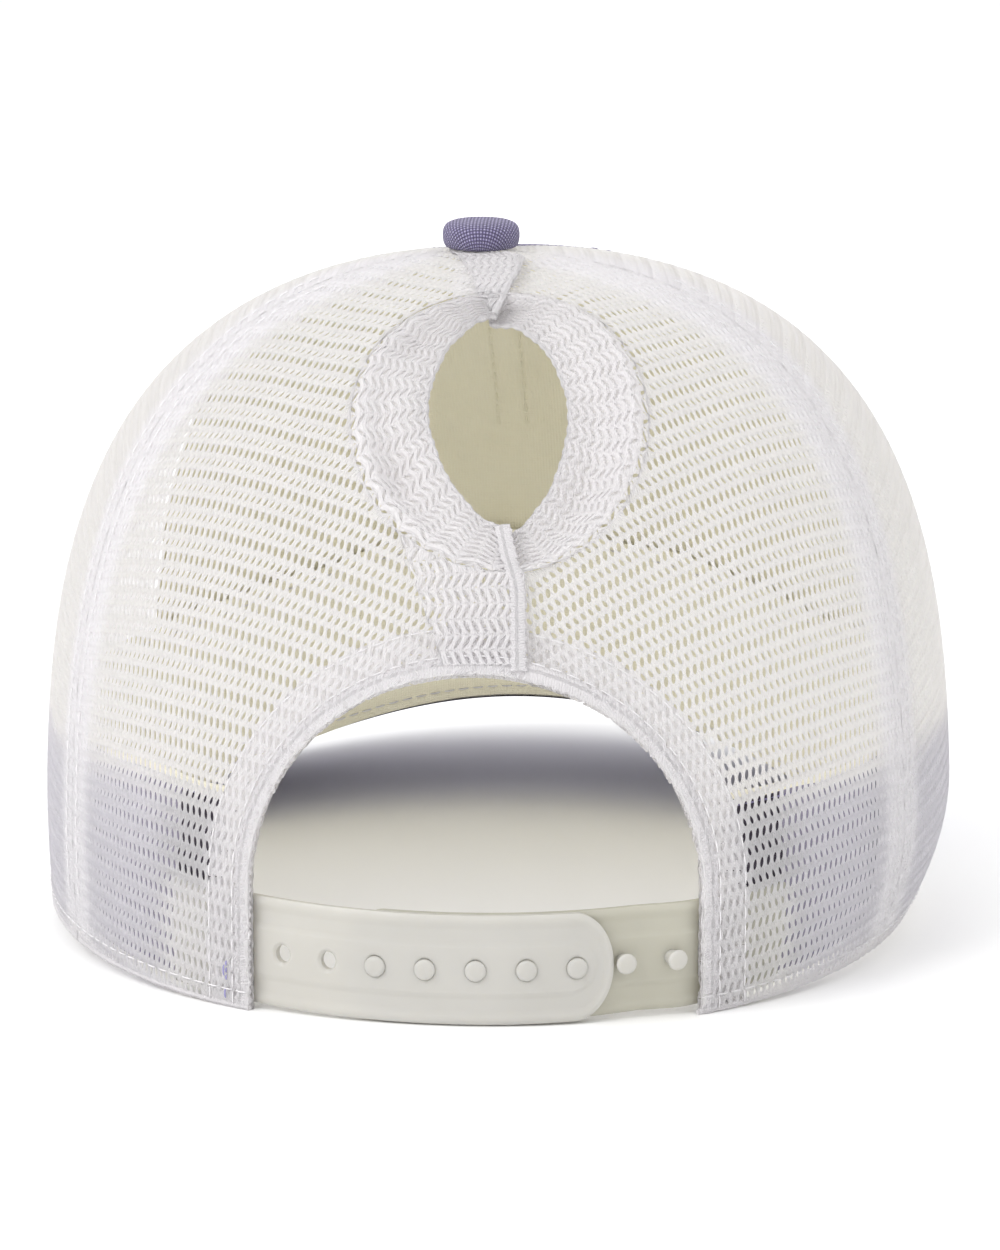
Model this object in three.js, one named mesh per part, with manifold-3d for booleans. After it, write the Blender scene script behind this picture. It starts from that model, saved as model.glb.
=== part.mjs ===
// A trucker cap: woven front, net sides and back, a ponytail hole, an arch and a snap strap.
// Millimetres, +Z up. The peak points to -Y, and the wearer's left is +X.
// The cap is shaped on its rim plane first, with the rim at z = 0, and then set down on its
// back rim and the two low sides of its peak, as it rests by itself.

import * as THREE from "three";
import { mergeVertices } from "three/addons/utils/BufferGeometryUtils.js";
import Module from "manifold-3d";

const wasm = await Module();
wasm.setup();

const DEG = Math.PI / 180;

// Crown: its size on the rim plane, and how far its top leans to the wearer's left.
const CROWN = { halfWidth: 85, halfLength: 99, height: 120.5, topLean: 3.35 };
// The crown's upright section is a superellipse, with one power for its reach and one for its
// rise. Both change round the head.
const REACH_POWER = { mean: 1.86, foreAft: 0.55, fourfold: -0.5, leftSide: -0.25, front: 0.8 };
const RISE_POWER = { mean: 3.22, foreAft: -1.01, fourfold: 0, leftSide: -0.09, front: -1.3 };
// The sides draw in towards the rim below this height, the right one much more.
const TUCK = { below: 24, left: 0.8, right: 7 };
const NORMAL_STEP = 0.01;
// The front rim arches up over the forehead, within this angle of the front.
const FRONT_ARCH = { lift: 12, halfAngle: 60 };

// Seams, by their angle from the back. The back one moves forward as it climbs.
const BACK_SEAM = { atRim: 62, climb: 10, power: 1.2 };
const FRONT_SEAM = 122;

// Cloth lies in layers: each is one thickness, with a gap to the next.
const CLOTH = 1.0;
const GAP = 0.3;
const LAYER = CLOTH + GAP;
// The panels end round the top, under the button.
const TOP_HOLE_RADIUS = 4;
const ROW_POWER = 1.35;
// How many quads each sheet has, up the crown and round it.
const GRID = {
  side: { rows: 14, columns: 9 },
  front: { rows: 14, columns: 9 },
  back: { rows: 16, columns: 13 },
  backing: { rows: 12, columns: 18 },
  archHem: { rows: 11, columns: 20 },
  tape: { rows: 12, columns: 2 },
  band: { rows: 4, columns: 44 },
  peak: { rows: 24, columns: 7 },
};

// The back panels cross at the centre: the left one on top, the right one dipping below it.
const LAP = {
  leftAtRim: 13,
  leftAtTop: 6.4,
  right: 4,
  topShare: 0.6,
  dip: 1.5,
  dipStart: 21,
  dipEnd: 12,
};
const HEM_DIP = { right: 25, rightEnd: 15, leftEnd: 8, left: 16 };

// Arch above the strap: straight sides, then half an ellipse.
const ARCH = { halfWidth: 39.3, spring: 22, rise: 38.3, hem: 8.2, below: 6, steps: 20 };
// How far from the middle of the head the arch's cutter starts and ends.
const ARCH_CUT = { near: 45, far: 115 };
const ARCH_HEM = { halfAngle: 40, spare: 2 };

// Almond hole for a ponytail: a hole in the middle of a wider eye with rolled lips.
const EYE = {
  center: new THREE.Vector3(-2.6, 55.8, 98.6),
  down: new THREE.Vector3(-0.1, 0.78, -0.617),
  holeWidth: 12.3,
  holeLength: 25.2,
  holePower: 1.7,
  holeRise: 3,
  eyeWidth: 25.6,
  eyeLength: 32,
  eyePower: 2,
};
const EYE_CUT = { inside: 16, outside: 22, steps: 40 };
// The search for the crown, straight out of the eye's plane.
const EYE_SEARCH = { inside: -40, outside: 30, steps: 40 };
// Lips, from the eye's edge in to the hole: how far in, and how high over the crown.
const LIP_PROFILE = [
  { share: 0.0, lift: 0.2 },
  { share: 0.14, lift: 1.7 },
  { share: 0.34, lift: 1.2 },
  { share: 0.66, lift: -0.7 },
  { share: 1.0, lift: -2.0 },
];
const LIP = { thickness: 2.2, steps: 16, splitTop: -8, splitBottom: 195, splitGap: 1.2, clearance: 0.35 };

const BACKING = { start: 2, topRadius: 8 };
const SEAM_TAPE = { halfWidth: 6.5, start: 2, topRadius: 30, slack: 0.25 };
const SWEATBAND = { end: 32, bottom: 1, height: 37, strapEnd: 43, inside: 52, depth: 3.45, extra: 0.95 };

// Snap strap: both halves have the same height, pegs and holes.
const STRAP = {
  bottom: 0.8,
  height: 19.4,
  thickness: 1.3,
  depth: 2.6,
  underDepth: 4.4,
  bandShare: 0.46,
  bandStep: 0.06,
  bandLift: 0.2,
  sewnEnd: 41,
  pitch: 6.1,
  count: 7,
  steps: 14,
  leastHalf: 0.4,
};
// A strap half's free end is rounded, in steps at these turns.
const END_TURNS = [0, 20, 40, 60, 75, 90];
const OVER = { firstHole: 24, endRadius: 8, endPastHole: -4.6 };
const UNDER = { firstPeg: -24.8, endRadius: 8, endPastPeg: 4.2, stepStart: -27, stepEnd: -20 };
const HOLE = { radius: 1.6, reach: 3 };
const PEG = {
  root: -0.8,
  neck: 1.25,
  head: 1.7,
  rise: 2.1,
  flare: 0.1,
  lip: 0.4,
  headHeight: 0.9,
  crown: 1.1,
  facets: 10,
};

// Peak: a stiff sheet, bent round the fore-and-aft line and sloping down to its edge.
const PEAK = {
  length: 70,
  thickness: 3,
  halfWidth: 76,
  widestAt: -56,
  outlinePower: 2.2,
  bendRadius: 120,
  slope: 0.12,
  rootAngle: 58,
  rootLift: 2.4,
  sideBlend: 10,
  swell: 1.5,
};

// Woven button on the top: its profile from the base up.
const BUTTON_PROFILE = [
  { radius: 6.1, height: 0 },
  { radius: 6.8, height: 0.7 },
  { radius: 7.1, height: 2.0 },
  { radius: 6.9, height: 3.4 },
  { radius: 5.7, height: 4.45 },
  { radius: 3.2, height: 4.95 },
];
const BUTTON = { top: 5.1, facets: 20 };
const WELD = 1e-4;
const TILT_SEARCH = { most: 12, steps: 30 };

const COLORS = {
  weave: 0x8b83b5,
  backing: 0xe4e0cc,
  net: 0xf0eef2,
  hem: 0xe6e3e8,
  tape: 0xe9e8ea,
  band: 0x8d8799,
  plastic: 0xd9d8cf,
};

// Small numeric helpers.

// Rises smoothly from 0 at start to 1 at end, whichever of the two is larger.
function ramp(value, start, end) {
  const share = THREE.MathUtils.clamp((value - start) / (end - start), 0, 1);
  return share * share * (3 - 2 * share);
}

function evenly(start, end, count) {
  return Array.from({ length: count + 1 }, (_, i) => start + ((end - start) * i) / count);
}

// Crown surface.

function powerAt(power, angle) {
  const ahead = Math.max(0, -Math.cos(angle));
  return power.mean + power.foreAft * Math.cos(angle) + power.fourfold * Math.cos(2 * angle)
    + power.leftSide * Math.sin(angle) + power.front * ahead * ahead;
}

// A point of the outer surface, by the angle from the back and the climb from rim to top.
function crownPoint(angle, climb) {
  const reach = Math.pow(Math.cos(climb), 2 / powerAt(REACH_POWER, angle));
  const rise = Math.pow(Math.sin(climb), 2 / powerAt(RISE_POWER, angle));
  const z = CROWN.height * rise;
  const side = Math.sin(angle);
  const tuck = ((side > 0 ? TUCK.left : TUCK.right) / CROWN.halfWidth) * side * side;
  const drawn = 1 - tuck * Math.pow(Math.max(0, 1 - z / TUCK.below), 2);
  return new THREE.Vector3(
    CROWN.topLean * rise * rise + CROWN.halfWidth * drawn * reach * side,
    CROWN.halfLength * drawn * reach * Math.cos(angle),
    z,
  );
}

function crownNormal(angle, climb) {
  const low = Math.max(0, climb - NORMAL_STEP);
  const high = Math.min(Math.PI / 2, climb + NORMAL_STEP);
  const round = crownPoint(angle + NORMAL_STEP, climb).sub(crownPoint(angle - NORMAL_STEP, climb));
  const up = crownPoint(angle, high).sub(crownPoint(angle, low));
  return up.cross(round).normalize();
}

// A point at some depth below the outer surface.
function below(angle, climb, depth) {
  return crownPoint(angle, climb).addScaledVector(crownNormal(angle, climb), -depth);
}

function climbAtHeight(angle, height) {
  const rise = THREE.MathUtils.clamp(height / CROWN.height, 0, 1);
  return Math.asin(Math.pow(rise, powerAt(RISE_POWER, angle) / 2));
}

function climbAtRadius(angle, radius) {
  return Math.acos(Math.pow(radius / CROWN.halfWidth, powerAt(REACH_POWER, angle) / 2));
}

// Angles run from 0 at the back, either way round to the front and past it.
function rimHeight(angle) {
  const fromFront = Math.abs(Math.PI - Math.abs(angle));
  const share = Math.min(1, fromFront / (FRONT_ARCH.halfAngle * DEG));
  return FRONT_ARCH.lift * Math.pow(Math.cos((share * Math.PI) / 2), 2);
}

// Roughly how far the crown reaches out from its middle at this climb.
function reachAt(climb) {
  return CROWN.halfWidth * Math.pow(Math.cos(climb), 2 / REACH_POWER.mean);
}

// The angle at which the crown, at this climb, is so far to the left of its leaning middle.
function angleAtSide(offset, climb, topShare) {
  return Math.asin(THREE.MathUtils.clamp(offset / reachAt(climb), -topShare, topShare));
}

// The distance to the left of the crown's leaning middle.
function sideOffset(angle, climb) {
  const rise = Math.pow(Math.sin(climb), 2 / powerAt(RISE_POWER, angle));
  return crownPoint(angle, climb).x - CROWN.topLean * rise * rise;
}

// Solids.

function facingOut(geometry) {
  const index = geometry.getIndex().array;
  const position = geometry.getAttribute("position");
  const [a, b, c] = [new THREE.Vector3(), new THREE.Vector3(), new THREE.Vector3()];
  let volume = 0;
  for (let i = 0; i < index.length; i += 3) {
    a.fromBufferAttribute(position, index[i]);
    b.fromBufferAttribute(position, index[i + 1]);
    c.fromBufferAttribute(position, index[i + 2]);
    volume += a.dot(b.cross(c));
  }
  if (volume < 0) {
    for (let i = 0; i < index.length; i += 3) {
      [index[i + 1], index[i + 2]] = [index[i + 2], index[i + 1]];
    }
  }
  return geometry;
}

function meshOf(points, triangles) {
  const geometry = new THREE.BufferGeometry();
  const flat = points.flatMap((point) => [point.x, point.y, point.z]);
  geometry.setAttribute("position", new THREE.Float32BufferAttribute(flat, 3));
  geometry.setIndex(triangles.flat());
  return facingOut(geometry);
}

// A sheet with thickness: rows of points over and under, joined round all four edges.
function sheetSolid(rows, columns, over, under) {
  const points = [];
  for (const side of [over, under]) {
    for (let r = 0; r <= rows; r++) {
      for (let c = 0; c <= columns; c++) {
        points.push(side(r, c));
      }
    }
  }
  const width = columns + 1;
  const bottom = width * (rows + 1);
  const at = (r, c) => r * width + c;
  const triangles = [];
  const quad = (p, q, s, t) => triangles.push([p, q, s], [p, s, t]);
  for (let r = 0; r < rows; r++) {
    for (let c = 0; c < columns; c++) {
      quad(at(r, c), at(r, c + 1), at(r + 1, c + 1), at(r + 1, c));
      quad(bottom + at(r + 1, c), bottom + at(r + 1, c + 1), bottom + at(r, c + 1), bottom + at(r, c));
    }
  }
  for (let c = 0; c < columns; c++) {
    quad(at(0, c + 1), at(0, c), bottom + at(0, c), bottom + at(0, c + 1));
    quad(at(rows, c), at(rows, c + 1), bottom + at(rows, c + 1), bottom + at(rows, c));
  }
  for (let r = 0; r < rows; r++) {
    quad(at(r, 0), at(r + 1, 0), bottom + at(r + 1, 0), bottom + at(r, 0));
    quad(at(r + 1, columns), at(r, columns), bottom + at(r, columns), bottom + at(r + 1, columns));
  }
  return meshOf(points, triangles);
}

function toSolid(geometry) {
  const bare = geometry.clone();
  bare.deleteAttribute("normal");
  bare.deleteAttribute("uv");
  const merged = mergeVertices(bare, WELD);
  return new wasm.Manifold(new wasm.Mesh({
    numProp: 3,
    vertProperties: merged.getAttribute("position").array,
    triVerts: Uint32Array.from(merged.getIndex().array),
  }));
}

function toGeometry(solid) {
  const mesh = solid.getMesh();
  const geometry = new THREE.BufferGeometry();
  geometry.setAttribute("position", new THREE.BufferAttribute(mesh.vertProperties, 3));
  geometry.setIndex(new THREE.BufferAttribute(mesh.triVerts, 1));
  return geometry;
}

// A piece of the crown: a sheet between two seams, at some depth below the outer surface.
function crownSheet({ rows, columns }, { from, to, bottom, top, depth }) {
  const place = (extra) => (r, c) => {
    const share = Math.pow(r / rows, ROW_POWER);
    const guess = share * (Math.PI / 2);
    const angle = THREE.MathUtils.lerp(from(guess), to(guess), c / columns);
    const climb = THREE.MathUtils.lerp(bottom(angle), top(angle), share);
    return below(angle, climb, depth(angle, climb) + extra);
  };
  return sheetSolid(rows, columns, place(0), place(CLOTH));
}

// Seams and laps between panels.

// Half the gap beside a seam, as an angle.
function seamGap(climb) {
  return GAP / 2 / Math.max(TOP_HOLE_RADIUS, reachAt(climb));
}

function backSeam(climb) {
  return (BACK_SEAM.atRim + BACK_SEAM.climb * Math.pow(Math.sin(climb), BACK_SEAM.power)) * DEG;
}

function leftLap(climb) {
  const past = THREE.MathUtils.lerp(LAP.leftAtRim, LAP.leftAtTop, climb / (Math.PI / 2));
  return angleAtSide(-past, climb, LAP.topShare);
}

function rightLap(climb) {
  return angleAtSide(LAP.right, climb, LAP.topShare);
}

function rightPanelDepth(angle, climb) {
  return LAP.dip * ramp(sideOffset(angle, climb), -LAP.dipStart, -LAP.dipEnd);
}

function hemDepth(angle, climb) {
  const offset = sideOffset(angle, climb);
  const right = ramp(offset, -HEM_DIP.right, -HEM_DIP.rightEnd);
  const left = ramp(offset, HEM_DIP.left, HEM_DIP.leftEnd);
  return LAYER + LAP.dip * Math.min(right, left);
}

// Cutters.

function archCutter(margin) {
  const width = ARCH.halfWidth + margin;
  const outline = new THREE.Shape();
  outline.moveTo(-width, -ARCH.below);
  outline.lineTo(width, -ARCH.below);
  outline.lineTo(width, ARCH.spring);
  outline.absellipse(0, ARCH.spring, width, ARCH.rise + margin, 0, Math.PI, false);
  const cutter = new THREE.ExtrudeGeometry(outline, {
    depth: ARCH_CUT.far - ARCH_CUT.near,
    bevelEnabled: false,
    curveSegments: ARCH.steps,
  });
  cutter.rotateX(Math.PI / 2);
  cutter.translate(0, ARCH_CUT.far, 0);
  return toSolid(cutter);
}

// The eye's own axes: across the head, down the crown, and straight out of it.
const EYE_DOWN = EYE.down.clone().normalize();
const EYE_ACROSS = new THREE.Vector3(1, 0, 0).addScaledVector(EYE_DOWN, -EYE_DOWN.x).normalize();
const EYE_OUT = EYE_DOWN.clone().cross(EYE_ACROSS).normalize();
if (EYE_OUT.z < 0) {
  EYE_OUT.negate();
}

function almond(turn, width, length, power) {
  const across = Math.sin(turn);
  const down = -Math.cos(turn);
  const bow = 2 / power;
  return {
    across: width * Math.sign(across) * Math.pow(Math.abs(across), bow),
    down: length * Math.sign(down) * Math.pow(Math.abs(down), bow),
  };
}

function eyePoint({ across, down }, out) {
  return EYE.center.clone().addScaledVector(EYE_ACROSS, across)
    .addScaledVector(EYE_DOWN, down).addScaledVector(EYE_OUT, out);
}

function eyeCutter() {
  const rims = [EYE_CUT.outside, -EYE_CUT.inside];
  const points = [];
  for (const out of rims) {
    for (let i = 0; i < EYE_CUT.steps; i++) {
      const turn = (2 * Math.PI * i) / EYE_CUT.steps;
      points.push(eyePoint(almond(turn, EYE.eyeWidth, EYE.eyeLength, EYE.eyePower), out));
    }
  }
  const middle = { across: 0, down: 0 };
  points.push(eyePoint(middle, rims[0]), eyePoint(middle, rims[1]));
  const triangles = [];
  for (let i = 0; i < EYE_CUT.steps; i++) {
    const next = (i + 1) % EYE_CUT.steps;
    const [a, b] = [i, next];
    const [c, d] = [EYE_CUT.steps + i, EYE_CUT.steps + next];
    triangles.push([a, b, points.length - 2], [d, c, points.length - 1], [b, a, c], [b, c, d]);
  }
  return toSolid(meshOf(points, triangles));
}

// How far a point lies outside the crown, as a share of its size.
function outsideCrown(point) {
  const rise = THREE.MathUtils.clamp(point.z / CROWN.height, 0, 1);
  const side = (point.x - CROWN.topLean * rise * rise) / CROWN.halfWidth;
  const fore = point.y / CROWN.halfLength;
  const angle = Math.atan2(side, fore);
  return Math.pow(Math.hypot(side, fore), powerAt(REACH_POWER, angle))
    + Math.pow(rise, powerAt(RISE_POWER, angle)) - 1;
}

// Where a line straight out of the eye meets the crown, by halving.
function eyeOnCrown(place) {
  let { inside, outside } = EYE_SEARCH;
  for (let i = 0; i < EYE_SEARCH.steps; i++) {
    const middle = (inside + outside) / 2;
    if (outsideCrown(eyePoint(place, middle)) > 0) {
      outside = middle;
    } else {
      inside = middle;
    }
  }
  return inside;
}

// One lip of the ponytail hole, from one turn round the eye to another.
function lip(fromTurn, toTurn) {
  const turns = evenly(fromTurn * DEG, toTurn * DEG, LIP.steps);
  const place = (thickness) => (r, c) => {
    const { share, lift } = LIP_PROFILE[c];
    const turn = turns[r];
    const outer = almond(turn, EYE.eyeWidth - LIP.clearance, EYE.eyeLength - LIP.clearance, EYE.eyePower);
    const inner = almond(turn, EYE.holeWidth, EYE.holeLength, EYE.holePower);
    const spot = {
      across: THREE.MathUtils.lerp(outer.across, inner.across, share),
      down: THREE.MathUtils.lerp(outer.down, inner.down - EYE.holeRise, share),
    };
    return eyePoint(spot, eyeOnCrown(spot) + lift - thickness);
  };
  return sheetSolid(LIP.steps, LIP_PROFILE.length - 1, place(0), place(LIP.thickness));
}

// Net and woven panels.

const rimClimb = (angle) => climbAtHeight(angle, rimHeight(angle));
const topClimb = (angle) => climbAtRadius(angle, TOP_HOLE_RADIUS);
const atSurface = () => 0;

function sidePanel(side) {
  return crownSheet(GRID.side, {
    from: (climb) => side * (backSeam(climb) + seamGap(climb)),
    to: (climb) => side * (FRONT_SEAM * DEG - seamGap(climb)),
    bottom: rimClimb,
    top: topClimb,
    depth: atSurface,
  });
}

function frontPanel(side) {
  return crownSheet(GRID.front, {
    from: (climb) => side * (FRONT_SEAM * DEG + seamGap(climb)),
    to: (climb) => side * (Math.PI - seamGap(climb)),
    bottom: rimClimb,
    top: topClimb,
    depth: atSurface,
  });
}

function backPanel(side) {
  const sheet = crownSheet(GRID.back, {
    from: side > 0 ? leftLap : rightLap,
    to: (climb) => side * (backSeam(climb) - seamGap(climb)),
    bottom: rimClimb,
    top: topClimb,
    depth: side > 0 ? atSurface : rightPanelDepth,
  });
  return toGeometry(toSolid(sheet).subtract(archCutter(0)).subtract(eyeCutter()));
}

function frontBacking() {
  const edge = FRONT_SEAM * DEG;
  return crownSheet(GRID.backing, {
    from: () => edge,
    to: () => 2 * Math.PI - edge,
    bottom: (angle) => climbAtHeight(angle, rimHeight(angle) + BACKING.start),
    top: (angle) => climbAtRadius(angle, BACKING.topRadius),
    depth: () => LAYER,
  });
}

function archHem() {
  const reach = ARCH_HEM.halfAngle * DEG;
  const sheet = crownSheet(GRID.archHem, {
    from: () => reach,
    to: () => -reach,
    bottom: rimClimb,
    top: (angle) => climbAtHeight(angle, ARCH.spring + ARCH.rise + ARCH.hem + ARCH_HEM.spare),
    depth: hemDepth,
  });
  return toGeometry(toSolid(sheet).intersect(archCutter(ARCH.hem)).subtract(archCutter(0)));
}

function seamTape(side) {
  const half = (climb) => SEAM_TAPE.halfWidth / Math.max(SEAM_TAPE.topRadius, reachAt(climb));
  return crownSheet(GRID.tape, {
    from: (climb) => side * (backSeam(climb) - half(climb)),
    to: (climb) => side * (backSeam(climb) + half(climb)),
    bottom: (angle) => climbAtHeight(angle, SEAM_TAPE.start),
    top: (angle) => climbAtRadius(angle, SEAM_TAPE.topRadius),
    depth: () => LAYER + SEAM_TAPE.slack,
  });
}

// The band inside the rim: it stands one layer further in where the strap is sewn under it.
function sweatband() {
  const end = SWEATBAND.end * DEG;
  const fromBack = (angle) => Math.PI - Math.abs(Math.PI - angle);
  const foot = (angle) => rimHeight(angle) + SWEATBAND.bottom;
  return crownSheet(GRID.band, {
    from: () => end,
    to: () => 2 * Math.PI - end,
    bottom: (angle) => climbAtHeight(angle, foot(angle)),
    top: (angle) => climbAtHeight(angle, foot(angle) + SWEATBAND.height),
    depth: (angle) => SWEATBAND.depth + SWEATBAND.extra
      * ramp(fromBack(angle), SWEATBAND.inside * DEG, SWEATBAND.strapEnd * DEG),
  });
}

// Snap strap.

const overDepth = () => STRAP.depth;

// The peg half's outer face dips under the other half.
function underDepth(angle) {
  const under = ramp(angle / DEG, UNDER.stepStart, UNDER.stepEnd);
  return THREE.MathUtils.lerp(STRAP.depth, STRAP.underDepth, under);
}

const STRAP_MIDDLE = STRAP.bottom + STRAP.height / 2;
const STRAP_RADIUS = crownPoint(0, climbAtHeight(0, STRAP_MIDDLE)).y - STRAP.depth;

// Strap rows from the lower edge to the upper one, with a raised band along the middle.
const STRAP_ROWS = [
  { share: -1, raised: false },
  { share: -STRAP.bandShare - STRAP.bandStep, raised: false },
  { share: -STRAP.bandShare, raised: true },
  { share: STRAP.bandShare, raised: true },
  { share: STRAP.bandShare + STRAP.bandStep, raised: false },
  { share: 1, raised: false },
];

// Angles along a strap half, close together round its rounded free end.
function strapAngles(sewnAngle, freeAngle, endRadius) {
  const side = Math.sign(freeAngle - sewnAngle);
  const roundEnd = END_TURNS.map(
    (turn) => freeAngle - (side * (endRadius * (1 - Math.cos(turn * DEG)))) / STRAP_RADIUS / DEG,
  );
  const straight = evenly(sewnAngle, roundEnd[roundEnd.length - 1], STRAP.steps).slice(0, -1);
  return [...straight, ...roundEnd.reverse()];
}

function strapHalf(sewnAngle, freeAngle, endRadius, depth) {
  const angles = strapAngles(sewnAngle, freeAngle, endRadius);
  const place = (thickness) => (r, c) => {
    const angle = angles[r] * DEG;
    const fromEnd = Math.abs(freeAngle - angles[r]) * DEG * STRAP_RADIUS;
    const inCircle = Math.max(0, endRadius - fromEnd);
    const half = Math.max(STRAP.leastHalf, Math.sqrt(endRadius * endRadius - inCircle * inCircle));
    const row = STRAP_ROWS[c];
    const height = STRAP_MIDDLE + row.share * half * (STRAP.height / 2 / endRadius);
    const lift = row.raised && thickness === 0 ? STRAP.bandLift : 0;
    return below(angle, climbAtHeight(angle, height), depth(angle) - lift + thickness);
  };
  return sheetSolid(angles.length - 1, STRAP_ROWS.length - 1, place(0), place(STRAP.thickness));
}

// A turned shape standing straight out of the strap's middle line.
function outOfStrap(profile, angle, depth) {
  const geometry = new THREE.LatheGeometry(
    profile.map(([radius, height]) => new THREE.Vector2(radius, height)),
    PEG.facets,
  );
  const climb = climbAtHeight(angle, STRAP_MIDDLE);
  const axis = new THREE.Vector3(0, 1, 0);
  const turn = new THREE.Quaternion().setFromUnitVectors(axis, crownNormal(angle, climb));
  geometry.applyQuaternion(turn);
  const base = below(angle, climb, depth);
  geometry.translate(base.x, base.y, base.z);
  return toSolid(geometry);
}

function strapWithHoles() {
  const lastHole = OVER.firstHole - (STRAP.count - 1) * STRAP.pitch;
  const freeEnd = lastHole + OVER.endPastHole;
  let solid = toSolid(strapHalf(STRAP.sewnEnd, freeEnd, OVER.endRadius, overDepth));
  const punch = [
    [0, -HOLE.reach],
    [HOLE.radius, -HOLE.reach],
    [HOLE.radius, HOLE.reach],
    [0, HOLE.reach],
  ];
  for (let i = 0; i < STRAP.count; i++) {
    const angle = (OVER.firstHole - i * STRAP.pitch) * DEG;
    solid = solid.subtract(outOfStrap(punch, angle, STRAP.depth + STRAP.thickness / 2));
  }
  return toGeometry(solid);
}

function strapWithPegs() {
  const lastPeg = UNDER.firstPeg + (STRAP.count - 1) * STRAP.pitch;
  const freeEnd = lastPeg + UNDER.endPastPeg;
  let solid = toSolid(strapHalf(-STRAP.sewnEnd, freeEnd, UNDER.endRadius, underDepth));
  const top = PEG.rise + PEG.headHeight;
  const peg = [
    [0, PEG.root],
    [PEG.neck, PEG.root],
    [PEG.neck, PEG.rise],
    [PEG.head, PEG.rise + PEG.flare],
    [PEG.head, PEG.rise + PEG.lip],
    [PEG.crown, top],
    [0, top],
  ];
  for (let i = 0; i < STRAP.count; i++) {
    const angle = (UNDER.firstPeg + i * STRAP.pitch) * DEG;
    solid = solid.add(outOfStrap(peg, angle, underDepth(angle) - STRAP.bandLift / 2));
  }
  return toGeometry(solid);
}

// Peak.

function peakRoot(share) {
  const angle = Math.PI - share * PEAK.rootAngle * DEG;
  const climb = climbAtHeight(angle, rimHeight(angle) + PEAK.rootLift);
  return below(angle, climb, -GAP);
}

function bentHeight(x, y) {
  const ahead = -CROWN.halfLength - y;
  return FRONT_ARCH.lift + PEAK.rootLift - (x * x) / (2 * PEAK.bendRadius) - PEAK.slope * ahead;
}

function peakEdge(share) {
  const turn = (share * Math.PI) / 2;
  const bow = 2 / PEAK.outlinePower;
  const tip = CROWN.halfLength + PEAK.length + PEAK.widestAt;
  const x = PEAK.halfWidth * Math.sign(turn) * Math.pow(Math.abs(Math.sin(turn)), bow);
  const y = PEAK.widestAt - tip * Math.pow(Math.abs(Math.cos(turn)), bow);
  const join = Math.pow(Math.abs(share), PEAK.sideBlend);
  const z = THREE.MathUtils.lerp(bentHeight(x, y), peakRoot(share).z - PEAK.thickness, join / 2);
  return new THREE.Vector3(x, y, z);
}

function peak() {
  const { rows, columns } = GRID.peak;
  const place = (drop) => (r, c) => {
    const share = (2 * r) / rows - 1;
    const out = c / columns;
    const point = peakRoot(share).lerp(peakEdge(share), out);
    point.z += PEAK.swell * Math.sin(Math.PI * out) * (1 - share * share) - drop;
    return point;
  };
  return sheetSolid(rows, columns, place(0), place(PEAK.thickness));
}

function button() {
  const profile = [
    new THREE.Vector2(0, 0),
    ...BUTTON_PROFILE.map(({ radius, height }) => new THREE.Vector2(radius, height)),
    new THREE.Vector2(0, BUTTON.top),
  ];
  const geometry = new THREE.LatheGeometry(profile, BUTTON.facets);
  geometry.rotateX(Math.PI / 2);
  geometry.translate(CROWN.topLean, 0, CROWN.height + GAP);
  return toGeometry(toSolid(geometry));
}

// The assembly, on the rim plane.

function paint(color, roughness) {
  return new THREE.MeshStandardMaterial({ color, roughness, metalness: 0 });
}

const PIECES = [
  { name: "front_panel_left", shape: frontPanel(1), color: COLORS.weave, roughness: 0.9 },
  { name: "front_panel_right", shape: frontPanel(-1), color: COLORS.weave, roughness: 0.9 },
  { name: "front_backing", shape: frontBacking(), color: COLORS.backing, roughness: 0.95 },
  { name: "side_mesh_left", shape: sidePanel(1), color: COLORS.net, roughness: 0.8 },
  { name: "side_mesh_right", shape: sidePanel(-1), color: COLORS.net, roughness: 0.8 },
  { name: "back_mesh_left", shape: backPanel(1), color: COLORS.net, roughness: 0.8 },
  { name: "back_mesh_right", shape: backPanel(-1), color: COLORS.net, roughness: 0.8 },
  {
    name: "ponytail_hem_left",
    shape: lip(LIP.splitTop, LIP.splitBottom),
    color: COLORS.hem,
    roughness: 0.85,
  },
  {
    name: "ponytail_hem_right",
    shape: lip(LIP.splitBottom + LIP.splitGap, LIP.splitTop + 360 - LIP.splitGap),
    color: COLORS.hem,
    roughness: 0.85,
  },
  { name: "arch_hem", shape: archHem(), color: COLORS.hem, roughness: 0.85 },
  { name: "seam_tape_left", shape: seamTape(1), color: COLORS.tape, roughness: 0.9 },
  { name: "seam_tape_right", shape: seamTape(-1), color: COLORS.tape, roughness: 0.9 },
  { name: "sweatband", shape: sweatband(), color: COLORS.band, roughness: 0.95 },
  { name: "peak", shape: peak(), color: COLORS.weave, roughness: 0.9 },
  { name: "button", shape: button(), color: COLORS.weave, roughness: 0.9 },
  { name: "strap_holes", shape: strapWithHoles(), color: COLORS.plastic, roughness: 0.4 },
  { name: "strap_pegs", shape: strapWithPegs(), color: COLORS.plastic, roughness: 0.4 },
];

const cap = new THREE.Group();
for (const piece of PIECES) {
  const mesh = new THREE.Mesh(piece.shape, paint(piece.color, piece.roughness));
  mesh.name = piece.name;
  cap.add(mesh);
}

// Setting down: the cap leans back until its back rim and its peak touch the same floor.

function lowest(tilt, side) {
  let low = Infinity;
  const point = new THREE.Vector3();
  for (const mesh of cap.children) {
    const position = mesh.geometry.getAttribute("position");
    for (let i = 0; i < position.count; i++) {
      point.fromBufferAttribute(position, i);
      if (point.y * side > 0) {
        low = Math.min(low, point.z * Math.cos(tilt) - point.y * Math.sin(tilt));
      }
    }
  }
  return low;
}

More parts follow.
